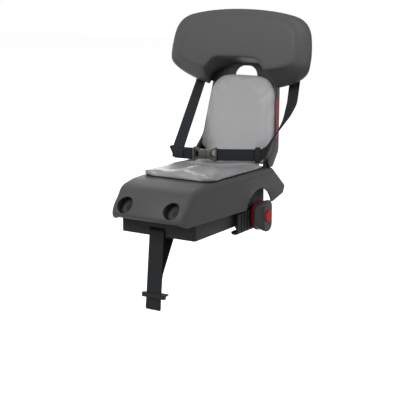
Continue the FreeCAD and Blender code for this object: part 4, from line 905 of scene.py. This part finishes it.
def swell(piece: bpy.types.Object, pressure: float, cap_mm: float, fixed: Callable[[Vector], bool]) -> None:
    """Puff a closed mesh with a cloth simulation, with no point moving further than the cap.

    Args:
        piece: Closed mesh object.
        pressure: Cloth pressure from inside.
        cap_mm: Largest movement of a point.
        fixed: True for points that stay in place.
    """
    rest = [vertex.co.copy() for vertex in piece.data.vertices]
    held = piece.vertex_groups.new(name="held")
    held.add([i for i, co in enumerate(rest) if fixed(co)], 1.0, "REPLACE")
    modifier = piece.modifiers.new("Cloth", "CLOTH")
    modifier.settings.use_pressure = True
    modifier.settings.uniform_pressure_force = pressure
    modifier.settings.effector_weights.gravity = 0.0
    modifier.settings.vertex_group_mass = "held"
    modifier.collision_settings.use_collision = False
    scene = bpy.context.scene
    for number in range(1, SWELL_FRAMES + 1):
        scene.frame_set(number)
    only(piece)
    bpy.ops.object.modifier_apply(modifier="Cloth")
    for vertex, start in zip(piece.data.vertices, rest):
        moved = vertex.co - start
        if moved.length > cap_mm * MM:
            vertex.co = start + moved * (cap_mm * MM / moved.length)
    scene.frame_set(1)
    piece.vertex_groups.clear()


@dataclass
class SeatPad:
    """Moulded foam pad of the seat, with a raised middle and two leg hollows."""

    front_mm: float = -77.0
    rear_mm: float = 142.0
    front_half_mm: float = 86.0
    wide_half_mm: float = 92.5
    notch_half_mm: float = 78.5
    step_from_mm: float = 121.0
    step_to_mm: float = 130.0
    corner_mm: float = 20.0
    rear_corner_mm: float = 8.0
    low_mm: float = 104.2
    high_mm: float = 112.8

    def half(self, y: float) -> float:
        """Return the half width in millimetres at a distance behind the origin."""
        share = min((y - self.front_mm) / (self.step_from_mm - self.front_mm), 1.0)
        wide = self.front_half_mm + (self.wide_half_mm - self.front_half_mm) * share
        step = clamp((y - self.step_from_mm) / (self.step_to_mm - self.step_from_mm))
        wide += (self.notch_half_mm - wide) * step
        ahead = self.corner_mm - (y - self.front_mm)
        if ahead > 0:
            wide -= self.corner_mm - math.sqrt(max(self.corner_mm ** 2 - ahead ** 2, 0))
        behind = self.rear_corner_mm - (self.rear_mm - y)
        if behind > 0:
            wide -= self.rear_corner_mm - math.sqrt(max(self.rear_corner_mm ** 2 - behind ** 2, 0))
        return wide

    def relief(self, x: float, y: float) -> float:
        """Return the height of the moulded relief in millimetres."""
        ridge = 5.2 * math.exp(-(x / 15) ** 2) * math.exp(-((y + 26) / 42) ** 2)
        hollow = -5.0 * math.exp(-((abs(x) - 40) / 19) ** 2) * math.exp(-((y + 22) / 40) ** 2)
        lip = 4.4 * math.exp(-((y + 72) / 13) ** 2)
        dish = -4.0 * math.exp(-(x / 60) ** 2) * math.exp(-((y - 72) / 40) ** 2)
        return ridge + hollow + lip + dish

    def build(self, finishes: Finishes) -> bpy.types.Object:
        """Make the pad: outline, thickness, swelling, relief.

        Args:
            finishes: The seat's finishes.

        Returns:
            The pad.
        """
        piece = new_grid("seat_pad", 44, 56)

        def lay(co: Vector) -> Vector:
            y = self.front_mm + (co.y + 0.5) * (self.rear_mm - self.front_mm)
            return at(co.x * 2 * self.half(y), y, self.high_mm)

        shape(piece, lay)
        apply_modifier(piece, "SOLIDIFY", thickness=(self.high_mm - self.low_mm) * MM, offset=-1.0)
        apply_modifier(piece, "REMESH", mode="VOXEL", voxel_size=4 * MM)
        apply_modifier(piece, "SMOOTH", factor=0.5, iterations=2)
        floor = (self.low_mm + 1.2) * MM
        swell(piece, 4.0, 5.0, lambda co: co.z < floor)
        apply_modifier(piece, "SMOOTH", factor=0.5, iterations=5)
        apply_modifier(piece, "SUBSURF", levels=1, render_levels=1)

        def mould(co: Vector) -> Vector:
            share = clamp((co.z / MM - self.low_mm - 2) / 5)
            lift = self.relief(co.x / MM, co.y / MM) * share
            return Vector((co.x, co.y, max(co.z + lift * MM, self.low_mm * MM)))

        shape(piece, mould)
        only(piece)
        bpy.ops.object.shade_smooth()
        put_on(piece, finishes.seat_foam)
        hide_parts("seat_cushion")
        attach(piece, Body.SEAT.value)
        log.info("seat_pad: %d faces", len(piece.data.polygons))
        return piece


@dataclass
class BackPad:
    """Moulded foam pad of the back, arched at the top, with a soft fold along each side."""

    low_mm: float = -6.0
    high_mm: float = 186.0
    front_mm: float = 9.5
    rear_mm: float = 21.6
    rim_mm: float = 15.4
    shoulder_mm: float = 138.0
    top_half_mm: float = 54.0
    foot_half_mm: float = 96.0
    taper: float = 0.103
    foot_round_mm: float = 5.0

    def half(self, high: float) -> float:
        """Return the half width in millimetres at a height above the hinge line."""
        wide = self.foot_half_mm - self.taper * high - 0.5
        if high > self.shoulder_mm:
            share = (high - self.shoulder_mm) / (self.high_mm - self.shoulder_mm)
            wide = self.top_half_mm * 0.55 + (wide - self.top_half_mm * 0.55) * math.sqrt(max(1 - share ** 2.6, 0))
        wide -= 17 * clamp((26 - high) / 12)
        foot = self.foot_round_mm - (high - self.low_mm)
        if foot > 0:
            wide -= self.foot_round_mm - math.sqrt(max(self.foot_round_mm ** 2 - foot ** 2, 0))
        return wide

    def relief(self, x: float, high: float) -> float:
        """Return how far the front is drawn in, in millimetres: a fold along each side and a hollow for the back."""
        side = abs(x) - (self.foot_half_mm - 0.5 - self.taper * high - 13)
        fold = 1.5 * math.exp(-(side / 5) ** 2) * clamp((self.shoulder_mm - high) / 30)
        hollow = 2.2 * math.exp(-(x / 45) ** 2) * math.exp(-((high - 95) / 60) ** 2)
        return fold + hollow

    def build(self, finishes: Finishes) -> bpy.types.Object:
        """Make the pad: outline, thickness, swelling, relief.

        Args:
            finishes: The seat's finishes.

        Returns:
            The pad.
        """
        piece = new_grid("back_pad", 40, 60)

        def lay(co: Vector) -> Vector:
            high = self.low_mm + (co.y + 0.5) * (self.high_mm - self.low_mm)
            return at(co.x * 2 * self.half(high), self.front_mm, high)

        shape(piece, lay)
        apply_modifier(piece, "SOLIDIFY", thickness=(self.rear_mm - self.front_mm) * MM, offset=-1.0)
        apply_modifier(piece, "REMESH", mode="VOXEL", voxel_size=4 * MM)
        apply_modifier(piece, "SMOOTH", factor=0.5, iterations=2)
        plane = (self.rear_mm - 1.5) * MM
        swell(piece, 4.0, 5.0, lambda co: co.y > plane)
        apply_modifier(piece, "SMOOTH", factor=0.5, iterations=4)
        apply_modifier(piece, "SUBSURF", levels=1, render_levels=1)

        def mould(co: Vector) -> Vector:
            x, depth, high = co / MM
            share = clamp((self.rear_mm - 4 - depth) / 5)
            behind = self.rear_mm if abs(x) < self.foot_half_mm - self.taper * high - 6.2 else self.rim_mm
            return on_back(x, min(depth + self.relief(x, high) * share, behind), high)

        shape(piece, mould)
        only(piece)
        bpy.ops.object.shade_smooth()
        put_on(piece, finishes.back_foam)
        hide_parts("backrest_cushion")
        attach(piece, Body.BACKREST.value)
        log.info("back_pad: %d faces", len(piece.data.polygons))
        return piece


# Studio


def seen_rays(tree: bpy.types.NodeTree) -> bpy.types.NodeSocket:
    """Tell the rays that show a surface from those that light one.

    Args:
        tree: Node tree that gets the nodes.

    Returns:
        A socket that is 1 for camera, glossy and transmission rays.
    """
    path = add(tree, "ShaderNodeLightPath")
    first = add(tree, "ShaderNodeMath", {"operation": "MAXIMUM"},
                {0: path.outputs["Is Camera Ray"], 1: path.outputs["Is Glossy Ray"]})
    both = add(tree, "ShaderNodeMath", {"operation": "MAXIMUM"},
               {0: first.outputs[0], 1: path.outputs["Is Transmission Ray"]})
    return both.outputs[0]


@dataclass
class Studio:
    """Pale floor, soft light and the camera."""

    camera_at: Vector = field(default_factory=lambda: Vector((1.1863, -1.8507, 0.5200)))
    azimuth: float = 32.42
    elevation: float = 12.12
    lens_mm: float = 97.2
    floor_z: float = -0.149

    def build(self) -> None:
        """Make floor, world, lamps and camera."""
        self.floor()
        self.world()
        self.lamp("key", Vector((-0.5, -2.3, 2.1)), 1.5, 55)
        self.lamp("fill", Vector((2.2, -0.7, 1.9)), 1.8, 23)
        self.lamp("back", Vector((-1.25, 1.95, 0.95)), 1.2, 9)
        self.camera()

    def lamp(self, name: str, place: Vector, size: float, power: float) -> None:
        """Add one soft lamp that faces the seat.

        Args:
            name: Name of the lamp.
            place: Where it hangs, in metres.
            size: Edge of its square, in metres.
            power: Watts.
        """
        fresh()
        bpy.ops.object.light_add(type="AREA", location=place)
        light = bpy.context.object
        light.name = name
        light.data.energy = power
        light.data.size = size
        light.rotation_mode = "QUATERNION"
        light.rotation_quaternion = (Vector((0, 0.05, 0.15)) - place).to_track_quat("-Z", "Y")

    def floor(self) -> None:
        """Add the floor: white to the camera, and it keeps the seat's shadow."""
        fresh()
        bpy.ops.mesh.primitive_plane_add(size=14, location=(0, 0, self.floor_z))
        piece = bpy.context.object
        piece.name = "studio_floor"
        material, tree, out = new_material("Paper_backdrop")
        grey = add(tree, "ShaderNodeBsdfDiffuse", {"Color": srgb("7c7c7c")})
        paper = add(tree, "ShaderNodeBsdfDiffuse", {"Color": srgb("f7f7f7")})
        glow = add(tree, "ShaderNodeEmission", {"Color": srgb("ffffff"), "Strength": 0.72})
        white = add(tree, "ShaderNodeAddShader", None, {0: paper.outputs[0], 1: glow.outputs[0]})
        pick = add(tree, "ShaderNodeMixShader", None, {0: seen_rays(tree), 1: grey.outputs[0], 2: white.outputs[0]})
        tree.links.new(pick.outputs[0], out.inputs["Surface"])
        put_on(piece, material)

    def world(self) -> None:
        """Set a plain sky: white to the camera, soft grey as light."""
        world = bpy.data.worlds.new("studio")
        bpy.context.scene.world = world
        world.use_nodes = True
        tree = world.node_tree
        tree.nodes.clear()
        sky = add(tree, "ShaderNodeBackground", {"Color": srgb("f4f5f7"), "Strength": 0.3})
        white = add(tree, "ShaderNodeBackground", {"Color": srgb("ffffff"), "Strength": 1.0})
        pick = add(tree, "ShaderNodeMixShader", None, {0: seen_rays(tree), 1: sky.outputs[0], 2: white.outputs[0]})
        out = add(tree, "ShaderNodeOutputWorld")
        tree.links.new(pick.outputs[0], out.inputs["Surface"])

    def camera(self) -> None:
        """Add the camera at the photograph's viewing angle."""
        fresh()
        bpy.ops.object.camera_add(location=self.camera_at)
        camera = bpy.context.object
        camera.data.lens = self.lens_mm
        camera.data.sensor_width = 36.0
        camera.data.clip_end = 50.0
        a, e = math.radians(self.azimuth), math.radians(self.elevation)
        back = Vector((math.sin(a) * math.cos(e), -math.cos(a) * math.cos(e), math.sin(e)))
        camera.rotation_mode = "QUATERNION"
        camera.rotation_quaternion = (-back).to_track_quat("-Z", "Y")
        bpy.context.scene.camera = camera


def main() -> None:
    """Build the seat's dress and the studio."""
    logging.basicConfig(level=logging.INFO)
    scene = bpy.context.scene
    scene.view_settings.view_transform = "Standard"
    finishes = Finishes()
    finishes.dress_frame()
    Studio().build()
    moulded = [
        (Shell("shell_moulded", "seat_shell", Body.SEAT, Slot.SHELL, 1.0), finishes.seat),
        (Moulded("back_moulded", "backrest_frame", Body.BACKREST, Slot.SHELL, 1.0), finishes.shell),
        (Moulded("housing_moulded", "clamp_housing", Body.SEAT, Slot.CLAMP, 1.2), finishes.clamp),
        (Moulded("right_jaw_moulded", "right_jaw", Body.RIGHT_CLAMP, Slot.CLAMP, 0.8), finishes.clamp),
        (Moulded("left_jaw_moulded", "left_jaw", Body.LEFT_CLAMP, Slot.CLAMP, 0.8), finishes.clamp),
        (Moulded("knob_moulded", "clamp_knob", Body.KNOB, Slot.SHELL, 0.8), finishes.knob),
        (Moulded("strap_slider_moulded", "strap_slider", Body.SLIDER, Slot.CLAMP, 0.8), finishes.clamp),
    ]
    for piece, finish in moulded:
        piece.build(finish)
    HeadPanel().build(finishes.shell)
    SafetyStrap().build(finishes)
    Harness().build(finishes)
    SeatPad().build(finishes)
    BackPad().build(finishes)


if __name__ == "__main__":
    main()
